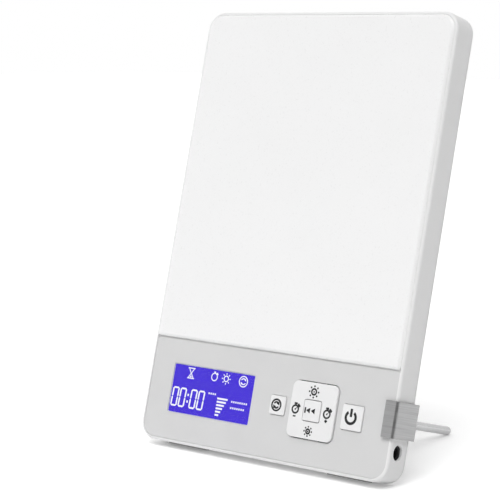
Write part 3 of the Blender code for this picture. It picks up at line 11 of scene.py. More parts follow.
import bmesh
import bpy
from bpy.props import FloatProperty, FloatVectorProperty, IntProperty, PointerProperty
from bpy.types import Operator, Panel, PropertyGroup
from mathutils import Matrix, Vector


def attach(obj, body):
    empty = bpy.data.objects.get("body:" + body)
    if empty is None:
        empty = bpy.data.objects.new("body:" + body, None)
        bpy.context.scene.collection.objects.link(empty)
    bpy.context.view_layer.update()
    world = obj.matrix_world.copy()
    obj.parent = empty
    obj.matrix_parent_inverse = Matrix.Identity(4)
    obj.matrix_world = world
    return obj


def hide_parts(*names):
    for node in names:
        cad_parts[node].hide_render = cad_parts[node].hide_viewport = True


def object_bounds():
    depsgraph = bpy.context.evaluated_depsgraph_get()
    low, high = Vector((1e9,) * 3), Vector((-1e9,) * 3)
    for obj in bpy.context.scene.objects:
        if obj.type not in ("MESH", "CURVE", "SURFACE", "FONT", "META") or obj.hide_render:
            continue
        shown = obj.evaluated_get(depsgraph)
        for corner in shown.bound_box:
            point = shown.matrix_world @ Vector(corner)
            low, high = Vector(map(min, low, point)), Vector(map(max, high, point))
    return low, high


bl_info = {
    "name": "Light Therapy Lamp",
    "version": (1, 0, 0),
    "blender": (4, 5, 0),
    "location": "3D View > Sidebar > Lamp",
    "description": "Dresses the solids of a light therapy lamp with its visible pieces, finishes and studio",
    "category": "Object",
}

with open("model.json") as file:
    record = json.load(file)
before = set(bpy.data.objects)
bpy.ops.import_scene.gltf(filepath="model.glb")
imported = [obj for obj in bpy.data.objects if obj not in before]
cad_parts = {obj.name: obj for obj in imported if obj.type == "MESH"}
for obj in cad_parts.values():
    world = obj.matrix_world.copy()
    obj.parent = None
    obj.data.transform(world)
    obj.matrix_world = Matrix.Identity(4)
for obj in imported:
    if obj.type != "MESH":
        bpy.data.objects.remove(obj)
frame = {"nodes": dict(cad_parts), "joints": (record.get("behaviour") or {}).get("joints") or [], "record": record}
solid_low, solid_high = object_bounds()

# How near two places count as one, and how far a cut runs past what it cuts
NEAR = 0.00001
OVERRUN = 0.002
QUARTER = math.pi / 2

# The panel's axes by number: to the right, to the back, and up
ACROSS, BACK, UP = range(3)

# The share of a face's normal above which the face looks in a direction
FACING = 0.9

# Faces that meet at less than this many degrees are shaded as one curve
SMOOTH_BELOW = 35.0


# The panel's own frame

def joint_axis(name):
    return Vector(next(joint["axis"] for joint in frame["joints"] if joint["name"] == name))


def panel_place():
    """The panel's frame in the world: its axes are those of the keys' travel and of the clip's slide."""
    back, up = joint_axis("power_key_press"), joint_axis("clip_slide")
    turn = Matrix((back.cross(up), back, up)).transposed().to_4x4()
    undo = turn.inverted()
    places = [undo @ vertex.co for vertex in frame["nodes"]["front_housing"].data.vertices]
    low = Vector(map(min, zip(*places)))
    high = Vector(map(max, zip(*places)))
    return turn @ Matrix.Translation(((low.x + high.x) / 2, low.y, low.z))


PANEL = panel_place()


class Block:
    """How far a solid of the frame reaches in the panel's own frame."""

    def __init__(self, node):
        undo = PANEL.inverted()
        places = [undo @ vertex.co for vertex in frame["nodes"][node].data.vertices]
        self.left, self.front, self.bottom = map(min, zip(*places))
        self.right, self.back, self.top = map(max, zip(*places))
        self.x = (self.left + self.right) / 2
        self.y = (self.front + self.back) / 2
        self.z = (self.bottom + self.top) / 2


class Plate:
    """A rectangle with rounded corners in the panel's plane."""

    def __init__(self, left, right, bottom, top, lower_corner, upper_corner=None):
        self.left = left
        self.right = right
        self.bottom = bottom
        self.top = top
        self.lower_corner = lower_corner
        self.upper_corner = lower_corner if upper_corner is None else upper_corner

    def grown(self, by):
        return Plate(
            self.left - by,
            self.right + by,
            self.bottom - by,
            self.top + by,
            max(self.lower_corner + by, 0.0),
            max(self.upper_corner + by, 0.0),
        )


def square(x, z, size, corner):
    return Plate(x - size / 2, x + size / 2, z - size / 2, z + size / 2, corner)


# Sizes and colours that a user would change

def length(name, default, description):
    return FloatProperty(
        name=name, description=description, default=default, min=0.0, precision=5,
        unit="LENGTH", subtype="DISTANCE")


def place(name, default, description):
    return FloatProperty(
        name=name, description=description, default=default, precision=5, unit="LENGTH", subtype="DISTANCE")


def places(name, default, description):
    return FloatVectorProperty(
        name=name, description=description, default=default, size=len(default), min=0.0, precision=5,
        unit="LENGTH")


def angle(name, default, description):
    return FloatProperty(
        name=name, description=description, default=math.radians(default), unit="ROTATION", subtype="ANGLE")


def strength(name, default, description):
    return FloatProperty(name=name, description=description, default=default, min=0.0, precision=3)


def count(name, default, description):
    return IntProperty(name=name, description=description, default=default, min=1)


def colour(name, default, description):
    return FloatVectorProperty(
        name=name, description=description, default=default, size=3, min=0.0, max=1.0, subtype="COLOR")


class LampHousingSizes(PropertyGroup):
    corner: length("Corner", 0.010, "Radius of the panel's four corners")
    wall: length("Wall", 0.0016, "Thickness of the side walls")
    rim_rounding: length("Rim rounding", 0.0014, "Rounding of the front rim's outer edge")
    recess: length("Recess", 0.0026, "Depth from the front rim to the ledge under the front plates")
    ledge: length("Ledge", 0.0014, "Thickness of the ledge")
    light_margin: length("Light window margin", 0.010, "From the panel's edge to the light window")
    light_bottom: length("Light window bottom", 0.066, "Height of the light window's lower edge")
    control_side: length("Control window side", 0.0075, "From the panel's edge to the control window")
    control_bottom: length("Control window bottom", 0.0080, "Height of the control window's lower edge")
    control_top: length("Control window top", 0.0520, "Height of the control window's upper edge")
    window_corner: length("Window corner", 0.0030, "Radius of the windows' corners")
    boss_radius: length("Boss radius", 0.0025, "Radius of the screw bosses")
    boss_clearance: length("Boss clearance", 0.0005, "Room round a boss in the rear cover")
    gap: length("Gap", 0.0003, "Gap between neighbouring mouldings")
    inlet_hole: length("Inlet hole", 0.0039, "Radius of the power inlet's hole in the right wall")
    inlet_hole_edge: length("Inlet hole edge", 0.0003, "Rounding of that hole's outer edge")
    cover_rounding: length("Cover rounding", 0.0014, "Rounding of the rear cover's outer edge")
    lip_height: length("Lip height", 0.0018, "Height of the rear cover's locating lip")
    lip_thickness: length("Lip thickness", 0.0012, "Thickness of that lip")
    rib_drop: length("Rib drop", 0.0009, "From the front rim back to the rib between the two front plates")
    rib_thickness: length("Rib thickness", 0.0012, "Thickness of the rear cover's ribs")
    foot_corner: length("Foot corner", 0.0012, "Radius of a rubber foot's corners")
    foot_rounding: length("Foot rounding", 0.0003, "Rounding of a rubber foot's lower edge")
    foot_pocket: length("Foot pocket", 0.0009, "Depth of the pocket that holds a foot")
    corner_steps: count("Corner steps", 14, "Faces round each corner of the panel")
    edge_steps: count("Edge steps", 5, "Faces across each rounded edge")


class LampPlateSizes(PropertyGroup):
    chamfer: length("Chamfer", 0.0014, "Width of the diffuser's sloping border")
    chamfer_depth: length("Chamfer depth", 0.0008, "How far that border falls back")
    edge: length("Diffuser edge", 0.0003, "Rounding of the diffuser's edges")
    diffuser_lower_corner: length("Diffuser lower corner", 0.0016, "Radius of the diffuser's lower corners")
    diffuser_upper_corner: length("Diffuser upper corner", 0.0081, "Radius of the diffuser's upper corners")
    fit_gap: length("Fit gap", 0.0001, "Gap between the front plates and the rim round them")
    fascia_thickness: length("Fascia thickness", 0.0020, "Thickness of the control plate")
    fascia_edge: length("Fascia edge", 0.00012, "Rounding of the control plate's edges and openings")
    fascia_lower_corner: length("Fascia lower corner", 0.0081, "Radius of the control plate's lower corners")
    fascia_upper_corner: length("Fascia upper corner", 0.0010, "Radius of the control plate's upper corners")
    pocket: length("Display pocket", 0.0011, "Depth of the pocket that holds the display's window")
    lip: length("Display lip", 0.0004, "Width of the lip that carries the display's window")
    gap: length("Gap", 0.0003, "Gap round the display's window")
    window_edge: length("Window edge", 0.00015, "Rounding of the display window's edges")
    window_thickness: length("Window thickness", 0.0003, "Thickness of the display's clear window")


class LampKeySizes(PropertyGroup):
    clearance: length("Clearance", 0.0002, "Gap between a square key and its opening")
    pad_clearance: length("Pad clearance", 0.0004, "Gap round the pad and in its middle hole, where it tilts")
    corner: length("Key corner", 0.0009, "Radius of a square key's corners")
    pad_corner: length("Pad corner", 0.0035, "Radius of the four-way pad's corners")
    edge: length("Key edge", 0.0004, "Rounding of a key's front edges")
    flange: length("Flange", 0.0010, "How far a key's flange stands out behind its opening")
    flange_thickness: length("Flange thickness", 0.0008, "Thickness of that flange")
    flange_drop: length("Flange drop", 0.0003, "Gap between the control plate and a key's flange")
    plunger: length("Plunger", 0.0020, "Radius of the plungers that press the switches")
    reset_flange: length("Middle key flange", 0.0008, "How far the middle key's flange stands out")
    reset_flange_thickness: length("Middle key flange thickness", 0.0006, "Thickness of that flange")
    reset_flange_drop: length("Middle key flange drop", 0.0007, "Gap between the pad and that flange")
    pad_thickness: length("Pad thickness", 0.0022, "Thickness of the four-way pad")
    tab_length: length("Tab length", 0.0014, "How far the pad's tabs reach behind the control plate")
    tab_width: length("Tab width", 0.0060, "Width of those tabs")
    tab_thickness: length("Tab thickness", 0.0008, "Thickness of those tabs")
    tab_drop: length("Tab drop", 0.0013, "Gap between the control plate and the tabs")
    pad_rim: length("Pad rim", 0.0011, "From a plunger to the pad's edge")
    lug_thickness: length("Lug thickness", 0.0013, "Thickness of the pad's two hinge lugs")
    lug_half_width: length("Lug half width", 0.0019, "Half the width of a hinge lug")
    lug_inset: length("Lug inset", 0.0069, "From the pad's middle to a hinge lug")
    lug_depth: length("Lug depth", 0.0060, "How far back a hinge lug reaches")
    hinge_depth: length("Hinge depth", 0.0046, "Depth of the pad's pivot")
    pin_hole: length("Pin hole", 0.0010, "Radius of the hole for a pivot pin")


class LampMarkSizes(PropertyGroup):
    ink: length("Ink", 0.00004, "Thickness of the printed marks")
    stroke: length("Stroke", 0.00092, "Width of the printed lines")
    sun: length("Sun", 0.0068, "Width of the larger sun mark")
    small_sun: length("Small sun", 0.0056, "Width of the smaller sun mark")
    watch: length("Stopwatch", 0.0049, "Width of a stopwatch mark's dial")
    cycle: length("Cycle", 0.0068, "Width of the cycle mark on the left key")
    restart: length("Restart", 0.0084, "Width of the restart mark on the middle key")
    power: length("Power", 0.0076, "Width of the power mark")
    power_stroke: length("Power stroke", 0.00145, "Width of the power mark's lines")
    pad_reach: length("Pad mark reach", 0.0103, "From the pad's middle to a mark on it")
    sign_reach: length("Plus and minus reach", 0.0036, "From a stopwatch down to its plus or minus")
    left_shift: length("Left shift", 0.0006, "How far left of a key's middle its mark sits")
    low_shift: length("Low shift", 0.0004, "How far below a key's middle its mark sits")
    lit_stroke: length("Lit stroke", 0.00058, "Width of the lit lines on the display")
    lit_sign: length("Lit sign", 0.0062, "Width of the signs along the display's top")
    lit_watch: length("Lit stopwatch", 0.0046, "Width of the lit stopwatch's dial")
    sign_drop: length("Sign drop", 0.0037, "From the display's top edge to its row of signs")
    sign_places: places(
        "Sign places", (0.0119, 0.0287, 0.0371, 0.0492), "From the display's left edge to each sign")
    figure_rise: length("Figure rise", 0.0083, "From the display's lower edge to the figures' middle")
    figure_places: places(
        "Figure places", (0.0029, 0.0083, 0.0162, 0.0216), "From the display's left edge to each figure")
    colon_place: length("Colon place", 0.01225, "From the display's left edge to the colon")
    digit_height: length("Digit height", 0.0108, "Height of the display's figures")
    digit_width: length("Digit width", 0.0047, "Width of one figure")
    digit_stroke: length("Digit stroke", 0.00095, "Width of a figure's segments")
    digit_slant: angle("Digit slant", 3.0, "How far the figures lean to the right")
    level_left: length("Level left", 0.0331, "From the display's left edge to the level bars")
    level_rise: length("Level rise", 0.0021, "From the display's lower edge to the lowest level bar")
    level_pitch: length("Level pitch", 0.00178, "From one level bar to the next")
    level_height: length("Level height", 0.00100, "Height of a level bar")
    level_short: length("Shortest level", 0.0026, "Length of the lowest level bar")
    level_step: length("Level step", 0.00096, "How much longer each level bar is than the one below")
    dash_height: length("Dash height", 0.00100, "Height of the dashes that stand for small print")
    dash_pitch: length("Dash pitch", 0.00145, "From one dash to the next")


class LampClipSizes(PropertyGroup):
    metal: length("Metal", 0.0012, "Thickness of the clip's steel strip")
    bend: length("Bend", 0.0006, "Inner radius of the clip's two bends")
    hook: length("Hook", 0.0078, "Length of the hook on the front rim, with its bend")
    burr: length("Edge", 0.00018, "Rounding of the strip's edges")
    rivet_hole: length("Rivet hole", 0.0015, "Radius of the rivets' holes")
    rivet_spread: length("Rivet spread", 0.0040, "From the rod's height to a rivet")
    rivet_inset: length("Rivet inset", 0.0085, "From the leg's pivot to the rivets")
    rivet_head: length("Rivet head", 0.0007, "Height of a rivet's head")
    pad_corner: length("Rubber corner", 0.0012, "Radius of the rubber pad's corners")
    bracket: length("Bracket", 0.0010, "Thickness of the bracket's plate")
    bracket_corner: length("Bracket corner", 0.0012, "Radius of the bracket's corners")
    ear_half: length("Ear half width", 0.0039, "Radius of an ear's round end")
    ear: length("Ear", 0.0011, "Thickness of an ear")
    knuckle_half: length("Knuckle half width", 0.0032, "Half the thickness of the leg's knuckle")
    gap: length("Gap", 0.0003, "Gap between the hinge's pieces")
    pin: length("Pin", 0.0015, "Radius of the hinge's pin")
    pin_head: length("Pin head", 0.0024, "Radius of the pin's heads")
    pin_head_height: length("Pin head height", 0.0008, "Height of the pin's heads")
    knuckle_edge: length("Knuckle edge", 0.0004, "Rounding of the knuckle's edges")
    spigot: length("Spigot", 0.0015, "Radius of the rod's threaded end")
    spigot_length: length("Spigot length", 0.0043, "Length of that end")
    shoulder: length("Shoulder", 0.0004, "Chamfer where the rod meets the knuckle")
    sides: count("Sides", 56, "Faces round the rod")


class LampFinishes(PropertyGroup):
    housing: colour("Housing", (0.88, 0.88, 0.88), "White moulded plastic of the housing")
    fascia: colour("Control plate", (0.69, 0.69, 0.69), "Satin grey of the control plate")
    opal: colour("Diffuser", (0.945, 0.945, 0.945), "Opal plate")
    keys: colour("Keys", (0.87, 0.87, 0.872), "Key plastic")
    ink: colour("Dark ink", (0.006, 0.006, 0.007), "Marks on the keys")
    display: colour("Display", (0.040, 0.010, 0.67), "Lit blue of the display")
    light_ink: colour("Light marks", (0.92, 0.92, 1.0), "Lit marks on the display")
    steel: colour("Brushed steel", (0.38, 0.38, 0.383), "Clip")
    rod: colour("Polished steel", (0.54, 0.54, 0.545), "Leg rod, pin and rivets")
    zinc: colour("Zinc plate", (0.55, 0.56, 0.57), "Bracket, knuckle and screws")
    rubber: colour("Rubber", (0.30, 0.30, 0.30), "Feet and clip pad")
    black: colour("Black plastic", (0.018, 0.018, 0.019), "Power inlet and electronic parts")


class LampStageSettings(PropertyGroup):
    azimuth: angle("Azimuth", 39.926, "How far the camera stands round to the right")
    elevation: angle("Elevation", 7.044, "How far the camera looks down")
    distance: length("Distance", 0.94785, "From the camera to the plane of the panel's lower edge")
    across: place("Across", -0.00268, "Camera's place to the right of the panel's lower middle")
    up: place("Up", 0.11008, "Camera's place above the panel's lower middle")
    lens: strength("Lens", 129.6, "Focal length in millimetres on a 36 mm sensor")
    sky_low: strength("Sky at the horizon", 0.20, "Strength of the even light from all round")
    sky_high: strength("Sky overhead", 1.12, "Strength of that light from straight above")
    sky_right: strength("Sky at the right", 0.06, "Share of that light which comes from the right")
    key_light: strength("Key light", 1.36, "Strength of the large soft light in front")
    key_turn: angle("Key light turn", 27.0, "How far that light stands round to the right")
    key_rise: angle("Key light rise", 55.0, "How high that light stands")
    key_softness: angle("Key light softness", 30.0, "How wide that light looks from the lamp")
    dark_side: strength("Dark side", 0.15, "What gloss shows of the room behind the camera")
    dark_top: strength("Dark top", 0.22, "What gloss shows of the room overhead")
    floor: strength("Floor", 0.92, "How much light the floor throws back")
    floor_glow: strength("Floor glow", 0.26, "What the camera sees added to the floor")
    floor_size: length("Floor size", 12.0, "Width of the floor")


SETTINGS = (
    ("lamp_housing", LampHousingSizes),
    ("lamp_plates", LampPlateSizes),
    ("lamp_keys", LampKeySizes),
    ("lamp_marks", LampMarkSizes),
    ("lamp_clip", LampClipSizes),
    ("lamp_finishes", LampFinishes),
    ("lamp_stage", LampStageSettings),
)


# Working on a piece by hand

def select_only(piece):
    """Makes one object the only selected and active one, because operators act on all that is selected."""
    bpy.ops.object.select_all(action="DESELECT")
    piece.select_set(True)
    bpy.context.view_layer.objects.active = piece


def apply_place(piece):
    select_only(piece)
    bpy.ops.object.transform_apply(location=True, rotation=True, scale=True)


def start_box(name, x, y, z):
    """A box between the two ends of each range."""
    bpy.ops.object.select_all(action="DESELECT")
    ranges = (x, y, z)
    bpy.ops.mesh.primitive_cube_add(
        size=1.0,
        location=[(low + high) / 2 for low, high in ranges],
        scale=[high - low for low, high in ranges],
    )
    piece = bpy.context.object
    piece.name = piece.data.name = name
    apply_place(piece)
    return piece


def open_mesh(piece, elements):
    """Enters edit mode with nothing selected, and gives the mesh to select in."""
    select_only(piece)
    bpy.ops.object.mode_set(mode="EDIT")
    bpy.ops.mesh.select_mode(type=elements)
    bpy.ops.mesh.select_all(action="DESELECT")
    return bmesh.from_edit_mesh(piece.data)


def close_mesh():
    bpy.ops.object.mode_set(mode="OBJECT")


def pick_edges(piece, wanted):
    """Selects the edges for whose two ends wanted is true."""
    mesh = open_mesh(piece, "EDGE")
    for edge in mesh.edges:
        edge.select_set(bool(wanted(edge.verts[0].co, edge.verts[1].co)))
    bmesh.update_edit_mesh(piece.data)


def pick_faces(piece, wanted):
    """Selects the faces for whose middle and normal wanted is true."""
    mesh = open_mesh(piece, "FACE")
    for face in mesh.faces:
        face.select_set(bool(wanted(face.calc_center_median(), face.normal)))
    bmesh.update_edit_mesh(piece.data)


def round_edges(piece, radius, steps, wanted):
    """Rounds the wanted edges, or chamfers them where steps is one."""
    if radius < NEAR:
        return
    pick_edges(piece, wanted)
    bpy.ops.mesh.bevel(offset=radius, segments=steps, affect="EDGES", clamp_overlap=False)
    close_mesh()


def round_sharp_edges(piece, radius, steps, wanted, clamp=False):
    """Rounds those of the wanted edges where two faces meet at more than 45 degrees."""
    mesh = open_mesh(piece, "EDGE")
    for edge in mesh.edges:
        sharp = edge.calc_face_angle(0.0) > QUARTER / 2
        edge.select_set(bool(sharp and wanted(edge.verts[0].co, edge.verts[1].co)))
    bmesh.update_edit_mesh(piece.data)
    bpy.ops.mesh.bevel(offset=radius, segments=steps, affect="EDGES", clamp_overlap=clamp)
    close_mesh()


def along(axis):
    """True for an edge that runs along that axis."""
    others = [i for i in range(3) if i != axis]
    return lambda a, b: all(abs(a[i] - b[i]) < NEAR for i in others)


def on_plane(axis, height):
    """True for an edge that lies in the plane where the axis has that height."""
    return lambda a, b: abs(a[axis] - height) < NEAR and abs(b[axis] - height) < NEAR


def slab(name, plate, front, back, steps):
    """A flat plate: a box whose corners are rounded as the plate's are."""
    piece = start_box(name, (plate.left, plate.right), (front, back), (plate.bottom, plate.top))
    middle = (plate.bottom + plate.top) / 2
    is_corner = along(BACK)
    round_edges(piece, plate.lower_corner, steps, lambda a, b: is_corner(a, b) and a.z < middle)
    round_edges(piece, plate.upper_corner, steps, lambda a, b: is_corner(a, b) and a.z > middle)
    return piece


def sink(piece, y, facing, margin, depth):
    """Insets the face at the depth y that faces the front (-1) or the back (1), and pushes it in."""
    pick_faces(piece, lambda middle, normal: abs(middle.y - y) < NEAR and normal.y * facing > FACING)
    bpy.ops.mesh.inset(thickness=margin, depth=0.0)
    bpy.ops.mesh.extrude_region_move(TRANSFORM_OT_translate={"value": (0.0, -facing * depth, 0.0)})
    close_mesh()


def combine(piece, others, operation):
    """Cuts the other shapes out of the piece, or joins them on, and takes them away."""
    for other in others:
        select_only(piece)
        bpy.ops.object.modifier_add(type="BOOLEAN")
        modifier = piece.modifiers[-1]
        modifier.operation = operation
        modifier.solver = "EXACT"
        modifier.object = other
        bpy.ops.object.modifier_apply(modifier=modifier.name)
        bpy.data.objects.remove(other)


def cut(piece, *others):
    combine(piece, others, "DIFFERENCE")


def join_on(piece, *others):
    combine(piece, others, "UNION")


def turned(name, axis, centre, profile, sides):
    """A turned piece about an axis through centre: each (height, radius) of its profile is the end of one
    extrusion. A last radius of zero closes to a point."""
    rotations = ((0.0, QUARTER, 0.0), (-QUARTER, 0.0, 0.0), (0.0, 0.0, 0.0))
    across = [0.0 if i == axis else 1.0 for i in range(3)]

    def at(height):
        point = list(centre)
        point[axis] = height
        return Vector(point)

    height, radius = profile[0]
    bpy.ops.object.select_all(action="DESELECT")
    bpy.ops.mesh.primitive_circle_add(
        vertices=sides, radius=radius, fill_type="NGON", location=at(height), rotation=rotations[axis])
    piece = bpy.context.object
    piece.name = piece.data.name = name
    apply_place(piece)
    pick_faces(piece, lambda middle, normal: True)
    for next_height, next_radius in profile[1:]:
        step = at(next_height) - at(height)
        bpy.ops.mesh.extrude_region_move(TRANSFORM_OT_translate={"value": step})
        if next_radius == 0.0:
            bpy.ops.mesh.merge(type="CENTER")
            break
        scale = next_radius / radius
        value = [scale if share else 1.0 for share in across]
        bpy.ops.transform.resize(value=value, center_override=at(next_height))
        height, radius = next_height, next_radius
    bpy.ops.mesh.select_all(action="SELECT")
    bpy.ops.mesh.normals_make_consistent(inside=False)
    close_mesh()
    return piece


def rod(name, axis, centre, radius, low, high, sides=32):
    return turned(name, axis, centre, [(low, radius), (high, radius)], sides)


def join_pieces(name, pieces):
    """Several objects made one, each staying a closed shape of its own."""
    select_only(pieces[0])
    for piece in pieces[1:]:
        piece.select_set(True)
    if len(pieces) > 1:
        bpy.ops.object.join()
    pieces[0].name = pieces[0].data.name = name
    return pieces[0]


def shade(piece):
    """Smooth curves and flat flats: normals are weighted by the size of the faces."""
    select_only(piece)
    bpy.ops.object.shade_smooth_by_angle(angle=math.radians(SMOOTH_BELOW))
    bpy.ops.object.modifier_add(type="WEIGHTED_NORMAL")
    modifier = piece.modifiers[-1]
    modifier.keep_sharp = True
    bpy.ops.object.modifier_apply(modifier=modifier.name)


def settle(piece, finish, slot, body, *nodes):
    """Ends a piece: shades it, leans it into its place, and gives it its finish and its body. The slot is not
    used.
    """
    shade(piece)
    piece.matrix_world = PANEL
    apply_place(piece)
    piece.data.materials.clear()
    piece.data.materials.append(bpy.data.materials[finish])
    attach(piece, body)
    if nodes:
        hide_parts(*nodes)
    return piece


# Finishes

# Nearly all of a noise lies between these
PATTERN_RANGE = (0.3, 0.7)


def start_finish(name, roughness, metallic=0.0):
    material = bpy.data.materials.new(name)
    if material.name != name:
        raise RuntimeError("the frame already has a material named %s" % name)
    material.use_nodes = True
    shader = material.node_tree.nodes["Principled BSDF"]
    shader.inputs["Roughness"].default_value = roughness
    shader.inputs["Metallic"].default_value = metallic
    return material.node_tree, shader


def grain(tree, scale, detail=3.0, stretch=(1.0, 1.0, 1.0), rough=0.55):
    """A noise on the object's own coordinates, drawn out across each axis of the panel by stretch."""
    nodes, links = tree.nodes, tree.links
    coordinates = nodes.new("ShaderNodeTexCoord")
    mapping = nodes.new("ShaderNodeMapping")
    mapping.vector_type = "TEXTURE"
    mapping.inputs["Scale"].default_value = [1.0 / share for share in stretch]
    mapping.inputs["Rotation"].default_value = (-lean(), 0.0, 0.0)
    noise = nodes.new("ShaderNodeTexNoise")
    noise.inputs["Scale"].default_value = scale
    noise.inputs["Detail"].default_value = detail
    noise.inputs["Roughness"].default_value = rough
    links.new(coordinates.outputs["Object"], mapping.inputs["Vector"])
    links.new(mapping.outputs["Vector"], noise.inputs["Vector"])
    return noise.outputs["Fac"]


def lean():
    """How far the panel leans back."""
    return -math.atan2(PANEL[2][1], PANEL[1][1])


def vary_colour(tree, shader, pattern, base, spread, socket="Base Color"):
    """Lets the colour run a little darker and lighter than its base with the pattern."""
    ramp = tree.nodes.new("ShaderNodeValToRGB")
    low, high = ramp.color_ramp.elements
    low.position, high.position = PATTERN_RANGE
    low.color = [max(part * (1.0 - spread), 0.0) for part in base] + [1.0]
    high.color = [min(part * (1.0 + spread), 1.0) for part in base] + [1.0]
    tree.links.new(pattern, ramp.inputs["Fac"])
    tree.links.new(ramp.outputs["Color"], shader.inputs[socket])


def vary_roughness(tree, shader, pattern, low, high):
    spread = tree.nodes.new("ShaderNodeMapRange")
    spread.inputs["From Min"].default_value = PATTERN_RANGE[0]
    spread.inputs["From Max"].default_value = PATTERN_RANGE[1]
    spread.inputs["To Min"].default_value = low
    spread.inputs["To Max"].default_value = high
    tree.links.new(pattern, spread.inputs["Value"])
    tree.links.new(spread.outputs["Result"], shader.inputs["Roughness"])


def raise_grain(tree, shader, pattern, height, amount=1.0, under=None):
    """A bump of that height; under is a bump that it lies on."""
    bump = tree.nodes.new("ShaderNodeBump")
    bump.inputs["Distance"].default_value = height
    bump.inputs["Strength"].default_value = amount
    tree.links.new(pattern, bump.inputs["Height"])
    if under is not None:
        tree.links.new(under.outputs["Normal"], bump.inputs["Normal"])
    tree.links.new(bump.outputs["Normal"], shader.inputs["Normal"])
    return bump


def make_moulded(name, base, roughness, spread=0.012, texture=0.000006):
    """Moulded plastic: spark-eroded grain, faint flow clouds, and patches that handling has polished."""
    tree, shader = start_finish(name, roughness)
    clouds = grain(tree, scale=22.0, detail=4.0)
    handling = grain(tree, scale=60.0, detail=5.0, stretch=(1.0, 1.0, 0.6))
    fine = grain(tree, scale=3200.0, detail=2.0)
    vary_colour(tree, shader, clouds, base, spread)
    vary_roughness(tree, shader, handling, low=roughness - 0.06, high=roughness + 0.07)
    waves = raise_grain(tree, shader, clouds, height=0.00003, amount=0.25)
    raise_grain(tree, shader, fine, height=texture, amount=1.0, under=waves)


def make_opal(name, base):
    """Opal acrylic: milky inside, satin and very even outside, with faint ripples in its gloss."""
    tree, shader = start_finish(name, roughness=0.30)
    shader.inputs["Subsurface Weight"].default_value = 0.15
    shader.inputs["Subsurface Radius"].default_value = (0.004, 0.004, 0.004)
    shader.inputs["Coat Weight"].default_value = 0.15
    shader.inputs["Coat Roughness"].default_value = 0.18
    clouds = grain(tree, scale=9.0, detail=3.0)
    fine = grain(tree, scale=900.0, detail=2.0)
    vary_colour(tree, shader, clouds, base, spread=0.008)
    vary_roughness(tree, shader, fine, low=0.26, high=0.36)
    raise_grain(tree, shader, clouds, height=0.00002, amount=0.2)


def make_satin_paint(name, base):
    """Satin lacquer on the control plate: fine orange peel and a soft speckle."""
    tree, shader = start_finish(name, roughness=0.42)
    clouds = grain(tree, scale=34.0, detail=5.0)
    peel = grain(tree, scale=700.0, detail=2.0)
    speckle = grain(tree, scale=5200.0, detail=1.0)
    vary_colour(tree, shader, clouds, base, spread=0.018)
    vary_roughness(tree, shader, peel, low=0.36, high=0.48)
    waves = raise_grain(tree, shader, peel, height=0.000006, amount=0.7)
    raise_grain(tree, shader, speckle, height=0.000003, amount=1.0, under=waves)


def make_ink(name, base):
    """Pad-printed ink, also used for the white ring that paints a highlight round the display: thin spots and a
    ragged sheen.
    """
    tree, shader = start_finish(name, roughness=0.55)
    spots = grain(tree, scale=2600.0, detail=3.0)
    vary_colour(tree, shader, spots, base, spread=0.35)
    vary_roughness(tree, shader, spots, low=0.42, high=0.66)
    raise_grain(tree, shader, spots, height=0.000004, amount=0.8)


def make_lit(name, base, level, spread, scale):
    """A lit layer of the display: its light comes through a fine, slightly uneven film."""
    tree, shader = start_finish(name, roughness=0.35)
    shader.inputs["Base Color"].default_value = (0.02, 0.02, 0.02, 1.0)
    shader.inputs["Emission Strength"].default_value = level
    shader.inputs["Specular IOR Level"].default_value = 0.12
    film = grain(tree, scale, detail=2.0)
    vary_colour(tree, shader, film, base, spread, "Emission Color")
    vary_roughness(tree, shader, film, low=0.28, high=0.42)
    raise_grain(tree, shader, film, height=0.000003, amount=0.5)


def make_window(name):
    """Clear moulded window: mostly see-through, with smears in its gloss."""
    tree, shader = start_finish(name, roughness=0.08)
    shader.inputs["Base Color"].default_value = (0.30, 0.30, 0.34, 1.0)
    shader.inputs["Alpha"].default_value = 0.02
    shader.inputs["Specular IOR Level"].default_value = 0.1
    smears = grain(tree, scale=160.0, detail=4.0, stretch=(1.0, 1.0, 0.3))
    vary_roughness(tree, shader, smears, low=0.05, high=0.14)
    raise_grain(tree, shader, smears, height=0.000004, amount=0.4)


def make_clear(name):
    """Clear acrylic of the light guide, cut and polished."""
    tree, shader = start_finish(name, roughness=0.10)
    shader.inputs["Base Color"].default_value = (0.90, 0.92, 0.95, 1.0)
    shader.inputs["Transmission Weight"].default_value = 0.8
    dots = grain(tree, scale=1400.0, detail=1.0)
    vary_roughness(tree, shader, dots, low=0.06, high=0.22)
    raise_grain(tree, shader, dots, height=0.000005, amount=0.6)


def make_brushed(name, base, roughness, stretch, scale):
    """Brushed metal: long fine scratches along the strip, with broader bands in them."""
    tree, shader = start_finish(name, roughness, metallic=1.0)
    shader.inputs["Anisotropic"].default_value = 0.35
    scratches = grain(tree, scale, detail=5.0, stretch=stretch, rough=0.7)
    bands = grain(tree, scale=55.0, detail=4.0, stretch=(1.0, 1.0, 6.0))
    vary_colour(tree, shader, scratches, base, spread=0.16)
    vary_roughness(tree, shader, bands, low=roughness - 0.06, high=roughness + 0.08)
    raise_grain(tree, shader, scratches, height=0.000010, amount=0.6)


def make_plated(name, base, roughness, spread=0.05):
    """Plated or turned steel: a faint clouding, fine turning marks and small pits."""
    tree, shader = start_finish(name, roughness, metallic=1.0)
    clouds = grain(tree, scale=150.0, detail=4.0)
    marks = grain(tree, scale=900.0, detail=3.0, stretch=(1.0, 0.08, 1.0))
    vary_colour(tree, shader, clouds, base, spread)
    vary_roughness(tree, shader, marks, low=roughness - 0.05, high=roughness + 0.07)
    raise_grain(tree, shader, marks, height=0.0000015, amount=0.4)


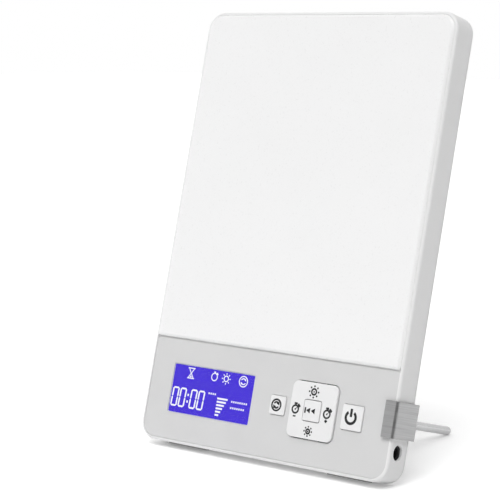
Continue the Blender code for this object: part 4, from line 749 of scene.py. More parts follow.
def make_rubber(name, base):
    """Moulded rubber: matt, with a fine pebble and dusty patches."""
    tree, shader = start_finish(name, roughness=0.82)
    dust = grain(tree, scale=180.0, detail=5.0)
    pebble = grain(tree, scale=2400.0, detail=2.0)
    vary_colour(tree, shader, dust, base, spread=0.16)
    vary_roughness(tree, shader, dust, low=0.72, high=0.92)
    raise_grain(tree, shader, pebble, height=0.000025, amount=0.9)


def make_laminate(name):
    """Circuit board: green solder mask over a glass weave."""
    tree, shader = start_finish(name, roughness=0.38)
    weave = grain(tree, scale=900.0, detail=1.0, stretch=(1.0, 1.0, 4.0))
    mask = grain(tree, scale=120.0, detail=3.0)
    vary_colour(tree, shader, mask, (0.025, 0.20, 0.075), spread=0.20)
    vary_roughness(tree, shader, mask, low=0.30, high=0.46)
    raise_grain(tree, shader, weave, height=0.000012, amount=0.7)


class LAMP_OT_finishes(Operator):
    """Makes all the materials"""

    bl_idname = "lamp.finishes"
    bl_label = "Finishes"

    def execute(self, context):
        colours = context.scene.lamp_finishes
        make_moulded("moulded_white", colours.housing, roughness=0.40)
        make_moulded("key_white", colours.keys, roughness=0.36, texture=0.000003)
        make_moulded("moulded_black", colours.black, roughness=0.45, spread=0.15, texture=0.000010)
        make_moulded("milky_nylon", (0.80, 0.80, 0.78), roughness=0.50, spread=0.03)
        make_satin_paint("satin_grey", colours.fascia)
        make_opal("opal_acrylic", colours.opal)
        make_ink("dark_ink", colours.ink)
        # The finish of the white ring round the display, which paints the highlight on the pocket's lit edge
        make_ink("painted_highlight_white", (0.88, 0.88, 0.88))
        make_lit("lit_blue", colours.display, level=1.0, spread=0.04, scale=500.0)
        make_lit("lit_white", colours.light_ink, level=1.0, spread=0.03, scale=1500.0)
        make_window("clear_window")
        make_clear("clear_acrylic")
        make_brushed(
            "brushed_clip", colours.steel, roughness=0.34, stretch=(1.0, 1.0, 70.0), scale=25.0)
        make_brushed(
            "rolled_aluminium", (0.75, 0.76, 0.77), roughness=0.40, stretch=(1.0, 20.0, 1.0), scale=90.0)
        make_plated("turned_steel", colours.rod, roughness=0.17)
        make_plated("zinc_plate", colours.zinc, roughness=0.34, spread=0.10)
        make_plated("tinned_brass", (0.72, 0.71, 0.66), roughness=0.26)
        make_rubber("moulded_rubber", colours.rubber)
        make_laminate("green_laminate")
        make_moulded("strip_board", (0.86, 0.84, 0.72), roughness=0.48, spread=0.06)
        return {"FINISHED"}


# Housing

SCREW_NUMBERS = (1, 2, 3, 4)


# Shares of a housing screw's head: its rim, and the reach, half width and depth of its cross recess, whose
# floor is smaller by the last
SCREW_RIM = 0.08
CROSS_REACH = 0.62
CROSS_HALF_WIDTH = 0.14
CROSS_DEPTH = 0.45
CROSS_TAPER = 0.6


def screw_places():
    """The housing screws' nodes, and how far each screw reaches."""
    return [(node, Block(node)) for node in ("housing_screw_%d" % number for number in SCREW_NUMBERS)]


def panel_outline(sizes):
    block = Block("front_housing")
    return Plate(block.left, block.right, block.bottom, block.top, sizes.corner)


class LAMP_OT_front_housing(Operator):
    """The white moulding: rounded rim, side walls, the ledge with its two windows, bosses and pockets"""

    bl_idname = "lamp.front_housing"
    bl_label = "Front housing"

    def execute(self, context):
        sizes = context.scene.lamp_housing
        block = Block("front_housing")
        outline = panel_outline(sizes)
        steps = sizes.corner_steps
        shell = slab("housing_shell", outline, block.front, block.back, steps)
        round_edges(shell, sizes.rim_rounding, sizes.edge_steps, on_plane(BACK, block.front))
        sink(shell, block.front, -1, sizes.wall - sizes.rim_rounding, sizes.recess)
        sink(shell, block.back, 1, sizes.wall, block.back - sizes.recess - sizes.ledge)
        low, high = block.front - OVERRUN, block.back + OVERRUN
        light = Plate(
            outline.left + sizes.light_margin, outline.right - sizes.light_margin,
            sizes.light_bottom, outline.top - sizes.light_margin, sizes.window_corner)
        control = Plate(
            outline.left + sizes.control_side, outline.right - sizes.control_side,
            sizes.control_bottom, sizes.control_top, sizes.window_corner)
        cut(shell, slab("light_window", light, low, high, 6), slab("control_window", control, low, high, 6))
        join_on(shell, start_box(
            "rib_between_plates", (outline.left + sizes.wall / 2, outline.right - sizes.wall / 2),
            (block.front + sizes.rib_drop, sizes.recess + sizes.ledge / 2),
            (Block("control_fascia").top + sizes.gap, Block("diffuser_panel").bottom - sizes.gap)))
        inlet = Block("dc_jack")
        cut(shell, start_box(
            "inlet_notch", (control.right - OVERRUN, outline.right - sizes.wall), (low, high),
            (inlet.bottom - sizes.gap, inlet.top + sizes.gap)))
        ledge_middle = sizes.recess + sizes.ledge / 2
        for _, screw in screw_places():
            centre = (screw.x, 0.0, screw.z)
            join_on(shell, rod("boss", BACK, centre, sizes.boss_radius, ledge_middle, block.back))
            pilot = (screw.right - screw.left) / 4 + sizes.gap
            cut(shell, rod("pilot", BACK, centre, pilot, screw.front - sizes.gap, high))
        pin = Block("dc_jack_pin")
        wall_inner = outline.right - sizes.wall
        edge = sizes.inlet_hole_edge
        hole = [
            (wall_inner - OVERRUN, sizes.inlet_hole),
            (outline.right - edge, sizes.inlet_hole),
            (outline.right, sizes.inlet_hole + edge),
            (outline.right + edge, sizes.inlet_hole + 2 * edge),
        ]
        cut(shell, turned("inlet_hole", ACROSS, (0.0, pin.y, pin.z), hole, 48))
        for node in ("foot_left", "foot_right"):
            foot = Block(node)
            pocket = start_box(
                "pocket", (foot.left - sizes.gap, foot.right + sizes.gap),
                (foot.front - sizes.gap, foot.back + sizes.gap), (-OVERRUN, sizes.foot_pocket))
            round_edges(pocket, sizes.foot_corner + sizes.gap, 4, along(UP))
            cut(shell, pocket)
        settle(shell, "moulded_white", "white_plastic", "lamp_body", "front_housing")
        return {"FINISHED"}


class LAMP_OT_rear_cover(Operator):
    """The flat back: rounded rear edge, locating lip, ribs and four countersunk holes"""

    bl_idname = "lamp.rear_cover"
    bl_label = "Rear cover"

    def execute(self, context):
        sizes = context.scene.lamp_housing
        block = Block("rear_cover")
        outline = panel_outline(sizes)
        front = Block("front_housing").back + sizes.gap
        cover = slab("cover_shell", outline, front, block.back, sizes.corner_steps)
        round_edges(cover, sizes.cover_rounding, sizes.edge_steps, on_plane(BACK, block.back))
        lip_plate = outline.grown(-sizes.wall - sizes.gap)
        lip_end = front - sizes.lip_height
        middle = (front + block.back) / 2
        lip = slab("lip", lip_plate, lip_end, middle, sizes.corner_steps)
        cut(lip, slab(
            "lip_inside", lip_plate.grown(-sizes.lip_thickness), lip_end - OVERRUN, block.back,
            sizes.corner_steps))
        join_on(cover, lip)
        tray = Block("light_tray")
        margin = Block("led_strip_left").front
        for share in (1, 3, 5):
            z = tray.bottom + (tray.top - tray.bottom) * share / 6
            join_on(cover, start_box(
                "rib_across", (tray.left + margin, tray.right - margin), (tray.back + sizes.gap, middle),
                (z, z + sizes.rib_thickness)))
            x = tray.left + (tray.right - tray.left) * share / 6
            join_on(cover, start_box(
                "rib_up", (x, x + sizes.rib_thickness), (tray.back + sizes.gap, middle),
                (tray.bottom + margin, tray.top - margin)))
        for _, screw in screw_places():
            centre = (screw.x, 0.0, screw.z)
            cut(cover, rod(
                "boss_room", BACK, centre, sizes.boss_radius + sizes.boss_clearance, lip_end - OVERRUN, front))
            head = (screw.right - screw.left) / 2
            neck = head / 2 + sizes.gap
            mouth = head + sizes.gap
            depth = mouth - neck
            sink_profile = [
                (lip_end - OVERRUN, neck),
                (block.back - depth, neck),
                (block.back + sizes.gap, mouth + sizes.gap),
            ]
            cut(cover, turned("countersink", BACK, centre, sink_profile, 40))
        settle(cover, "moulded_white", "white_plastic", "lamp_body", "rear_cover")
        return {"FINISHED"}


class LAMP_OT_housing_screws(Operator):
    """Four countersunk screws with a cross recess: one is modelled, the others are copies"""

    bl_idname = "lamp.housing_screws"
    bl_label = "Housing screws"

    def execute(self, context):
        sizes = context.scene.lamp_housing
        name, first = screw_places()[0]
        head = (first.right - first.left) / 2
        shank = head / 2 - sizes.gap / 2
        rim = head * SCREW_RIM
        profile = [
            (first.front, shank * 0.5),
            (first.front + shank, shank),
            (first.back - (head - shank), shank),
            (first.back - rim, head),
            (first.back, head - rim / 2),
        ]
        screw = turned("cover_screw", BACK, (first.x, 0.0, first.z), profile, 40)
        arm = head * CROSS_REACH
        slot = head * CROSS_HALF_WIDTH
        depth = head * CROSS_DEPTH
        for across, up in ((arm, slot), (slot, arm)):
            cutter = start_box(
                "cross", (first.x - across, first.x + across), (first.back - depth, first.back + OVERRUN),
                (first.z - up, first.z + up))
            pick_faces(cutter, lambda middle, normal: normal.y < -FACING)
            bpy.ops.transform.resize(
                value=(CROSS_TAPER, 1.0, CROSS_TAPER), center_override=(first.x, first.back, first.z))
            close_mesh()
            cut(screw, cutter)
        copies = [(name, screw)]
        for other, block in screw_places()[1:]:
            select_only(screw)
            bpy.ops.object.duplicate()
            copy = bpy.context.object
            copy.name = copy.data.name = "cover_screw_copy"
            copy.location = (block.x - first.x, 0.0, block.z - first.z)
            apply_place(copy)
            copies.append((other, copy))
        for node, copy in copies:
            copy.name = copy.data.name = node.replace("housing", "cover")
            settle(copy, "zinc_plate", "zinc_steel", "lamp_body", node)
        return {"FINISHED"}


class LAMP_OT_feet(Operator):
    """The two rubber strips under the lower edge"""

    bl_idname = "lamp.feet"
    bl_label = "Rubber feet"

    def execute(self, context):
        sizes = context.scene.lamp_housing
        for node in ("foot_left", "foot_right"):
            block = Block(node)
            foot = start_box(
                node + "_rubber", (block.left, block.right), (block.front, block.back),
                (block.bottom, block.top))
            round_edges(foot, sizes.foot_corner, 6, along(UP))
            round_edges(foot, sizes.foot_rounding, 3, on_plane(UP, block.bottom))
            settle(foot, "moulded_rubber", "grey_rubber", "lamp_body", node)
        return {"FINISHED"}


# Front plates

class LAMP_OT_diffuser(Operator):
    """The opal plate that stands proud of the rim, with a sloping border"""

    bl_idname = "lamp.diffuser"
    bl_label = "Diffuser"

    def execute(self, context):
        sizes = context.scene.lamp_plates
        steps = context.scene.lamp_housing.corner_steps
        block = Block("diffuser_panel")
        outline = Plate(
            block.left, block.right, block.bottom, block.top,
            sizes.diffuser_lower_corner, sizes.diffuser_upper_corner)
        outline = outline.grown(sizes.gap - sizes.fit_gap)
        shoulder = block.front + sizes.chamfer_depth
        plate = slab("opal_plate", outline, shoulder, block.back, steps)
        pick_faces(plate, lambda middle, normal: normal.y < -FACING)
        bpy.ops.mesh.inset(thickness=sizes.chamfer, depth=sizes.chamfer_depth)
        close_mesh()
        round_edges(plate, sizes.edge, 4, on_plane(BACK, shoulder))
        round_edges(plate, sizes.edge, 4, on_plane(BACK, block.front))
        settle(plate, "opal_acrylic", "opal_plate", "lamp_body", "diffuser_panel")
        return {"FINISHED"}


def display_opening(sizes):
    """The opening over the display, from the display glass that lies behind it."""
    glass = Block("lcd_glass")
    return Plate(glass.left, glass.right, glass.bottom, glass.top, sizes.gap).grown(sizes.gap)


def key_cap(node, flange, corner):
    """A square key's cap, from its node, which reaches out to the flange."""
    block = Block(node)
    return square(block.x, block.z, block.right - block.left - 2 * flange, corner)


def pad_cap(sizes):
    """The four-way pad's outline, inside its tabs."""
    block = Block("four_way_pad")
    return square(block.x, block.z, block.right - block.left - 2 * sizes.tab_length, sizes.pad_corner)


class LAMP_OT_fascia(Operator):
    """The grey control plate with its display pocket, key openings and board bosses"""

    bl_idname = "lamp.fascia"
    bl_label = "Control plate"

    def execute(self, context):
        sizes = context.scene.lamp_plates
        keys = context.scene.lamp_keys
        steps = context.scene.lamp_housing.corner_steps
        block = Block("control_fascia")
        outline = Plate(
            block.left, block.right, block.bottom, block.top,
            sizes.fascia_lower_corner, sizes.fascia_upper_corner)
        front, back = block.front, block.front + sizes.fascia_thickness
        fascia = slab("control_plate", outline.grown(sizes.gap - sizes.fit_gap), front, back, steps)
        low, high = front - OVERRUN, back + OVERRUN
        opening = display_opening(sizes)
        cut(fascia, slab("pocket", opening.grown(sizes.lip), low, front + sizes.pocket, 4))
        openings = (
            opening,
            key_cap("mode_button", keys.flange, keys.corner).grown(keys.clearance),
            key_cap("power_button", keys.flange, keys.corner).grown(keys.clearance),
            pad_cap(keys).grown(keys.pad_clearance),
        )
        for hole in openings:
            cut(fascia, slab("opening", hole, low, high, 6))
        round_sharp_edges(fascia, sizes.fascia_edge, 3, on_plane(BACK, front))
        for number in SCREW_NUMBERS:
            screw = Block("board_screw_%d" % number)
            centre = (screw.x, 0.0, screw.z)
            radius = context.scene.lamp_housing.boss_radius
            join_on(fascia, rod("boss", BACK, centre, radius, (front + back) / 2, block.back, 24))
            pilot = (screw.right - screw.left) / 4 + sizes.gap
            cut(fascia, rod("pilot", BACK, centre, pilot, screw.front - sizes.gap, block.back + OVERRUN, 24))
        settle(fascia, "satin_grey", "grey_fascia", "lamp_body", "control_fascia")
        return {"FINISHED"}


def display_film(scene):
    """The depth of the lit film, just behind the display's window."""
    return Block("lcd_window").front + scene.lamp_plates.window_thickness + 3 * scene.lamp_marks.ink


class LAMP_OT_display(Operator):
    """The display: its clear window, a white ring behind it that paints the highlight on the pocket's lit edge,
    and the lit cell
    """

    bl_idname = "lamp.display"
    bl_label = "Display"

    def execute(self, context):
        sizes = context.scene.lamp_plates
        ink = context.scene.lamp_marks.ink
        opening = display_opening(sizes)
        block = Block("lcd_window")
        film = display_film(context.scene)
        plate = opening.grown(sizes.lip - sizes.fit_gap)
        window = slab("display_window", plate, block.front, block.front + sizes.window_thickness, 5)
        round_edges(window, sizes.window_edge, 3, on_plane(BACK, block.front))
        settle(window, "clear_window", "clear_plastic", "lamp_body", "lcd_window")
        # A white ring round the lit cell is painted highlight: it stands for the display pocket's lit edge
        border = slab("display_highlight_ring", plate, film, film + ink, 5)
        cut(border, slab("border_inside", opening, block.front, block.back, 5))
        settle(border, "painted_highlight_white", "milky_plastic", "lamp_body")
        cell = slab("display_cell", opening.grown(-ink), film, Block("lcd_glass").back, 4)
        settle(cell, "lit_blue", "display_glass", "lamp_body", "lcd_glass")
        return {"FINISHED"}


# Printed and lit marks: thin shapes of ink that stand on a face

# The cycle mark's arrows, in degrees clockwise: where the first one starts, the length of its shaft, and from
# its start to the middle of its head
ARROW_START = -65
ARROW_LENGTH = 115
ARROW_HEAD = 118

# The opening at the top of the power mark, in degrees
POWER_OPENING = 70

# Places of the dashes: shares of the level bars' place, of a figure's height, of a sign's width and of the
# level bars' pitch
NOTE_LEFT = 0.79
NOTE_RISE = 0.43
CAPTION_LEFT = 0.92
CAPTION_RISE = 0.94


def flat_shape(ink, sides, x, z, radius, turn=0.0, hole=0.0, missing=None):
    """A disc, polygon or ring of ink. Turn is clockwise; missing is the range of angles, clockwise from the
    top, that a ring leaves open."""
    bpy.ops.object.select_all(action="DESELECT")
    bpy.ops.mesh.primitive_circle_add(
        vertices=sides, radius=radius, fill_type="NGON", rotation=(QUARTER, 0.0, 0.0))
    piece = bpy.context.object
    apply_place(piece)
    if hole:
        pick_faces(piece, lambda middle, normal: True)
        bpy.ops.mesh.inset(thickness=radius - hole, depth=0.0)
        bpy.ops.mesh.delete(type="FACE")
        close_mesh()
    if missing:
        start, end = missing

        def is_missing(middle, normal):
            return start < math.degrees(math.atan2(middle.x, middle.z)) % 360 < end

        pick_faces(piece, is_missing)
        bpy.ops.mesh.delete(type="FACE")
        close_mesh()
    raise_ink(piece, ink)
    return lay(piece, x, z, turn)


def lay(piece, x, z, turn):
    """Turns a flat shape clockwise, and lays it with its middle at x and z."""
    piece.rotation_euler = (0.0, turn, 0.0)
    piece.location = (x, 0.0, z)
    apply_place(piece)
    return piece


def raise_ink(piece, ink):
    """Gives a flat shape the ink's thickness, towards the front."""
    open_mesh(piece, "FACE")
    bpy.ops.mesh.select_all(action="SELECT")
    bpy.ops.mesh.extrude_region_move(TRANSFORM_OT_translate={"value": (0.0, -ink, 0.0)})
    bpy.ops.mesh.select_all(action="SELECT")
    bpy.ops.mesh.normals_make_consistent(inside=False)
    close_mesh()


def bar(ink, x, z, width, height, turn=0.0, tip=0.0, steps=1):
    """A bar of ink. Its corners are cut by tip, or rounded where there are more steps than one."""
    piece = start_box("bar", (-width / 2, width / 2), (-ink, 0.0), (-height / 2, height / 2))
    round_edges(piece, tip, steps, along(BACK))
    return lay(piece, x, z, turn)


def sun_mark(ink, stroke, x, z, width, dot=True):
    """A ring with eight rays."""
    ring = width * 0.29
    shapes = [flat_shape(ink, 36, x, z, ring, hole=ring - stroke)]
    if dot:
        shapes.append(flat_shape(ink, 16, x, z, stroke * 0.5))
    ray = width * 0.14
    reach = width / 2 - ray / 2
    for i in range(8):
        turn = i * math.pi / 4
        shapes.append(bar(
            ink, x + reach * math.sin(turn), z + reach * math.cos(turn), stroke, ray, turn, stroke * 0.3, 2))
    return shapes


def watch_mark(ink, stroke, x, z, width, dot=True):
    """A stopwatch: a dial, its crown, and a button on its shoulder."""
    radius = width / 2
    shapes = [flat_shape(ink, 40, x, z, radius, hole=radius - stroke)]
    if dot:
        shapes.append(flat_shape(ink, 14, x, z, stroke * 0.5))
        shapes.append(bar(ink, x + stroke * 0.6, z + stroke * 0.6, stroke * 0.4, stroke * 1.6, QUARTER / 2))
    crown = radius + stroke * 0.6
    shapes.append(bar(ink, x, z + crown, stroke * 2.2, stroke * 1.2, 0.0, stroke * 0.3, 2))
    shoulder = QUARTER / 2
    shapes.append(bar(
        ink, x + crown * math.sin(shoulder), z + crown * math.cos(shoulder), stroke * 2.2, stroke * 1.3,
        shoulder, stroke * 0.3, 2))
    return shapes


def cycle_mark(ink, stroke, x, z, width):
    """Two arrows that chase each other inside a ring."""
    outer = width / 2
    inner = outer * 0.60
    middle = inner - stroke / 2
    shapes = [flat_shape(ink, 44, x, z, outer, hole=outer - stroke)]
    for start in (ARROW_START, ARROW_START + 180):
        shapes.append(flat_shape(
            ink, 48, x, z, inner, math.radians(start), inner - stroke, missing=(ARROW_LENGTH, 360)))
        head = math.radians(start + ARROW_HEAD)
        shapes.append(flat_shape(
            ink, 3, x + middle * math.sin(head), z + middle * math.cos(head), stroke * 1.4,
            turn=head + QUARTER))
    return shapes


def power_mark(ink, stroke, x, z, width):
    """A ring open at the top, with a bar in the opening."""
    radius = width / 2
    turn = -math.radians(POWER_OPENING / 2)
    ring = flat_shape(ink, 72, x, z, radius, turn, radius - stroke, missing=(0, POWER_OPENING))
    return [ring, bar(ink, x, z + width * 0.32, stroke, width * 0.56, 0.0, stroke * 0.25, 3)]


def restart_mark(ink, stroke, x, z, width):
    """A bar and two triangles that point back to it."""
    height = width * 0.36
    shapes = [bar(ink, x - width * 0.42, z, stroke, height, 0.0, stroke * 0.25, 2)]
    for share in (-0.15, 0.22):
        shapes.append(flat_shape(ink, 3, x + width * share, z, height * 0.56, turn=-QUARTER))
    return shapes


def hourglass_mark(ink, stroke, x, z, width):
    """Two end bars, a waisted outline and a little heap of sand."""
    height = width * 0.98
    width = width * 0.80
    shapes = []
    for up in (-1, 1):
        shapes.append(bar(ink, x, z + up * (height - stroke) / 2, width, stroke))
        for side in (-1, 1):
            reach = Vector((width * 0.36, height * 0.45))
            shapes.append(bar(
                ink, x + side * (reach.x + stroke * 0.3) / 2, z + up * reach.y / 2, stroke * 0.85,
                reach.length, math.atan2(side * up * reach.x, reach.y)))
    shapes.append(flat_shape(ink, 3, x, z - height * 0.30, width * 0.17))
    return shapes


def settle_marks(name, shapes, face, finish, slot, body):
    """Joins the shapes of one face's marks, and lays them on it."""
    marks = join_pieces(name, shapes)
    marks.location = (0.0, face, 0.0)
    apply_place(marks)
    settle(marks, finish, slot, body)


class LAMP_OT_key_marks(Operator):
    """The dark marks printed on the keys and the pad"""

    bl_idname = "lamp.key_marks"
    bl_label = "Key marks"

    def execute(self, context):
        sizes = context.scene.lamp_marks
        keys = (
            ("mode", "mode_button", cycle_mark, sizes.cycle, sizes.stroke),
            ("power", "power_button", power_mark, sizes.power, sizes.power_stroke),
            ("reset", "reset_button", restart_mark, sizes.restart, sizes.stroke),
        )
        for name, node, mark, width, stroke in keys:
            key = Block(node)
            shapes = mark(sizes.ink, stroke, key.x - sizes.left_shift, key.z, width)
            settle_marks(name + "_mark", shapes, key.front, "dark_ink", "black_plastic", name + "_key")
        pad = Block("four_way_pad")
        settle_marks(
            "pad_marks", self.pad_shapes(sizes, pad), pad.front, "dark_ink", "black_plastic", "pad")
        return {"FINISHED"}

    def pad_shapes(self, sizes, pad):
        """Suns above and below, and a stopwatch with its minus or plus at each side."""
        ink, stroke, reach = sizes.ink, sizes.stroke, sizes.pad_reach
        middle, height = pad.x - sizes.left_shift, pad.z - sizes.low_shift
        shapes = sun_mark(ink, stroke, middle, height + reach, sizes.sun)
        shapes += sun_mark(ink, stroke, middle, height - reach, sizes.small_sun)
        wide, thin = stroke * 1.9, stroke * 0.8
        below = height - sizes.sign_reach
        for side in (-1, 1):
            x = middle + side * reach
            shapes += watch_mark(ink, stroke, x, height, sizes.watch)
            shapes.append(bar(ink, x, below, wide, thin))
        shapes.append(bar(ink, middle + reach, below, thin, wide))
        return shapes


class LAMP_OT_display_marks(Operator):
    """The lit figures, signs and level bars on the display"""

    bl_idname = "lamp.display_marks"
    bl_label = "Display marks"

    def execute(self, context):
        sizes = context.scene.lamp_marks
        cell = Block("lcd_glass")
        row = cell.top - sizes.sign_drop
        ink, stroke, width = sizes.ink, sizes.lit_stroke, sizes.lit_sign
        sand, watch, sun, cycle = [cell.left + place for place in sizes.sign_places]
        shapes = hourglass_mark(ink, stroke, sand, row, width)
        shapes += watch_mark(ink, stroke, watch, row, sizes.lit_watch, False)
        shapes += sun_mark(ink, stroke, sun, row, width, False)
        shapes += cycle_mark(ink, stroke, cycle, row, width)
        line = cell.bottom + sizes.figure_rise
        for place in sizes.figure_places:
            shapes += self.nought(sizes, cell.left + place, line)
        for up in (-1, 1):
            shapes.append(bar(
                ink, cell.left + sizes.colon_place, line + up * sizes.digit_height * 0.17,
                sizes.digit_stroke * 1.1, sizes.digit_stroke * 1.3, sizes.digit_slant))
        shapes += self.level_bars(sizes, cell.left + sizes.level_left, cell.bottom + sizes.level_rise)
        note = line + sizes.digit_height * NOTE_RISE
        shapes += self.dashes(sizes, cell.left + sizes.level_left * NOTE_LEFT, note, 4)
        caption = cell.left + sizes.sign_places[2] + width * CAPTION_LEFT
        for row_number, number in ((5, 8), (3, 7)):
            height = cell.bottom + sizes.level_rise + sizes.level_pitch * row_number * CAPTION_RISE
            shapes += self.dashes(sizes, caption, height, number)
        settle_marks(
            "display_marks", shapes, display_film(context.scene), "lit_white", "display_glass", "lamp_body")
        return {"FINISHED"}

    def nought(self, sizes, x, z):
        """Six segments with pointed ends, leaning a little to the right."""
        ink, stroke, slant = sizes.ink, sizes.digit_stroke, sizes.digit_slant
        width = sizes.digit_width - stroke
        height = sizes.digit_height - stroke
        segments = [(0.0, height / 2, False), (0.0, -height / 2, False)]
        segments += [(side * width / 2, up * height / 4, True) for side in (-1, 1) for up in (-1, 1)]
        shapes = []
        for across, up, upright in segments:
            reach = (height / 2 if upright else width) - stroke * 0.12
            shapes.append(bar(
                ink, x + across + up * math.tan(slant), z + up,
                stroke if upright else reach, reach if upright else stroke,
                slant if upright else 0.0, stroke * 0.42))
        return shapes

    def level_bars(self, sizes, left, bottom):
        """Six bars, each longer than the one below it."""
        shapes = []
        for i in range(6):
            width = sizes.level_short + i * sizes.level_step
            shapes.append(bar(
                sizes.ink, left + width / 2, bottom + i * sizes.level_pitch, width, sizes.level_height))
        return shapes

    def dashes(self, sizes, left, z, number):
        """A row of plain dashes in place of small print."""
        pitch = sizes.dash_pitch
        return [
            bar(sizes.ink, left + (i + 0.5) * pitch, z, pitch * 0.6, sizes.dash_height)
            for i in range(number)
        ]


# Keys

def key_piece(name, plate, node, sizes, flange, flange_front, flange_thickness):
    """A key: rounded cap, flange behind the plate in front of it, and round plunger."""
    block = Block(node)
    flange_back = flange_front + flange_thickness
    middle = (flange_front + flange_back) / 2
    cap = slab(name, plate, block.front, middle, 6)
    round_edges(cap, sizes.edge, 5, on_plane(BACK, block.front))
    join_on(cap, slab("flange", plate.grown(flange), flange_front, flange_back, 6))
    join_on(cap, rod("plunger", BACK, (block.x, 0.0, block.z), sizes.plunger, middle, block.back))
    return cap


class LAMP_OT_square_keys(Operator):
    """The left and right keys"""

    bl_idname = "lamp.square_keys"
    bl_label = "Square keys"

    def execute(self, context):
        sizes = context.scene.lamp_keys
        flange_front = Block("control_fascia").front + context.scene.lamp_plates.fascia_thickness
        flange_front += sizes.flange_drop
        for name in ("mode", "power"):
            node = name + "_button"
            plate = key_cap(node, sizes.flange, sizes.corner)
            cap = key_piece(
                name + "_key_cap", plate, node, sizes, sizes.flange, flange_front, sizes.flange_thickness)
            settle(cap, "key_white", "key_plastic", name + "_key", node)
        return {"FINISHED"}


class LAMP_OT_middle_key(Operator):
    """The key in the middle of the four-way pad"""

    bl_idname = "lamp.middle_key"
    bl_label = "Middle key"

    def execute(self, context):
        sizes = context.scene.lamp_keys
        plate = key_cap("reset_button", sizes.reset_flange, sizes.corner)
        flange_front = Block("four_way_pad").front + sizes.pad_thickness + sizes.reset_flange_drop
        cap = key_piece(
            "middle_key_cap", plate, "reset_button", sizes, sizes.reset_flange, flange_front,
            sizes.reset_flange_thickness)
        settle(cap, "key_white", "key_plastic", "reset_key", "reset_button")
        return {"FINISHED"}


class LAMP_OT_four_way_pad(Operator):
    """The four-way plate with its square hole, its feet and tabs, and its two hinge lugs"""

    bl_idname = "lamp.four_way_pad"
    bl_label = "Four-way pad"

    def execute(self, context):
        sizes = context.scene.lamp_keys
        block = Block("four_way_pad")
        plate = pad_cap(sizes)
        back = block.front + sizes.pad_thickness
        middle = block.front + sizes.pad_thickness / 2
        pad = slab("pad_plate", plate, block.front, back, 10)
        round_edges(pad, sizes.edge, 5, on_plane(BACK, block.front))
        middle_key = key_cap("reset_button", sizes.reset_flange, sizes.corner).grown(sizes.pad_clearance)
        cut(pad, slab("middle_hole", middle_key, block.front - OVERRUN, back + OVERRUN, 5))
        reach = (plate.right - plate.left) / 2 - sizes.pad_rim - sizes.plunger
        outer = (block.right - block.left) / 2
        tab_front = Block("control_fascia").front + context.scene.lamp_plates.fascia_thickness
        tab_front += sizes.tab_drop
        tab = (tab_front, tab_front + sizes.tab_thickness)
        half = sizes.tab_width / 2
        for side in (-1, 1):
            for x, z in ((block.x + side * reach, block.z), (block.x, block.z + side * reach)):
                join_on(pad, rod("foot", BACK, (x, 0.0, z), sizes.plunger, middle, block.back))
            across = sorted((block.x + side * reach, block.x + side * outer))
            up = sorted((block.z + side * reach, block.z + side * outer))
            join_on(pad, start_box("tab", across, tab, (block.z - half, block.z + half)))
            join_on(pad, start_box("tab", (block.x - half, block.x + half), tab, up))
            lug = sorted((block.z + side * sizes.lug_inset,
                          block.z + side * (sizes.lug_inset + sizes.lug_thickness)))
            join_on(pad, start_box(
                "lug", (block.x - sizes.lug_half_width, block.x + sizes.lug_half_width),
                (middle, sizes.lug_depth), lug))
        cut(pad, rod(
            "pin_hole", UP, (block.x, sizes.hinge_depth, 0.0), sizes.pin_hole, block.z - reach,
            block.z + reach, 24))
        settle(pad, "key_white", "key_plastic", "pad", "four_way_pad")
        return {"FINISHED"}


# Power inlet

class LAMP_OT_power_inlet(Operator):
    """The socket behind the hole in the right wall, and its centre pin"""

    bl_idname = "lamp.power_inlet"
    bl_label = "Power inlet"

    def execute(self, context):
        sizes = context.scene.lamp_housing
        block, pin = Block("dc_jack"), Block("dc_jack_pin")
        gap = sizes.gap
        socket = start_box(
            "inlet_socket", (block.left, block.right), (block.front, block.back), (block.bottom, block.top))
        round_edges(socket, gap, 3, along(ACROSS))
        bore = sizes.inlet_hole - 2.5 * gap
        bottom = pin.left - gap
        profile = [(bottom, bore), (block.right - gap, bore), (block.right + gap, bore + 2 * gap)]
        cut(socket, turned("bore", ACROSS, (0.0, pin.y, pin.z), profile, 48))
        settle(socket, "moulded_black", "black_plastic", "lamp_body", "dc_jack")
        radius = (pin.top - pin.bottom) / 2
        nose = radius / 2
        profile = [(pin.left, radius), (pin.right - nose, radius)]
        # The nose curves in as an ellipse does, to half the pin's radius
        for share in (0.3, 0.6, 0.85):
            profile.append((pin.right - nose + nose * share, radius * math.sqrt(1 - share ** 2 * 0.75)))
        profile.append((pin.right, nose))
        contact = turned("inlet_pin", ACROSS, (0.0, pin.y, pin.z), profile, 32)
        settle(contact, "tinned_brass", "tinned_metal", "lamp_body", "dc_jack_pin")
        return {"FINISHED"}


# Clip and leg

def bend_on(x, y):
    """Carries the selected end face a quarter turn about the upright line at x and y."""
    bpy.ops.mesh.spin(
        steps=8, angle=-QUARTER, center=(x, y, 0.0), axis=(0.0, 0.0, 1.0), dupli=False)


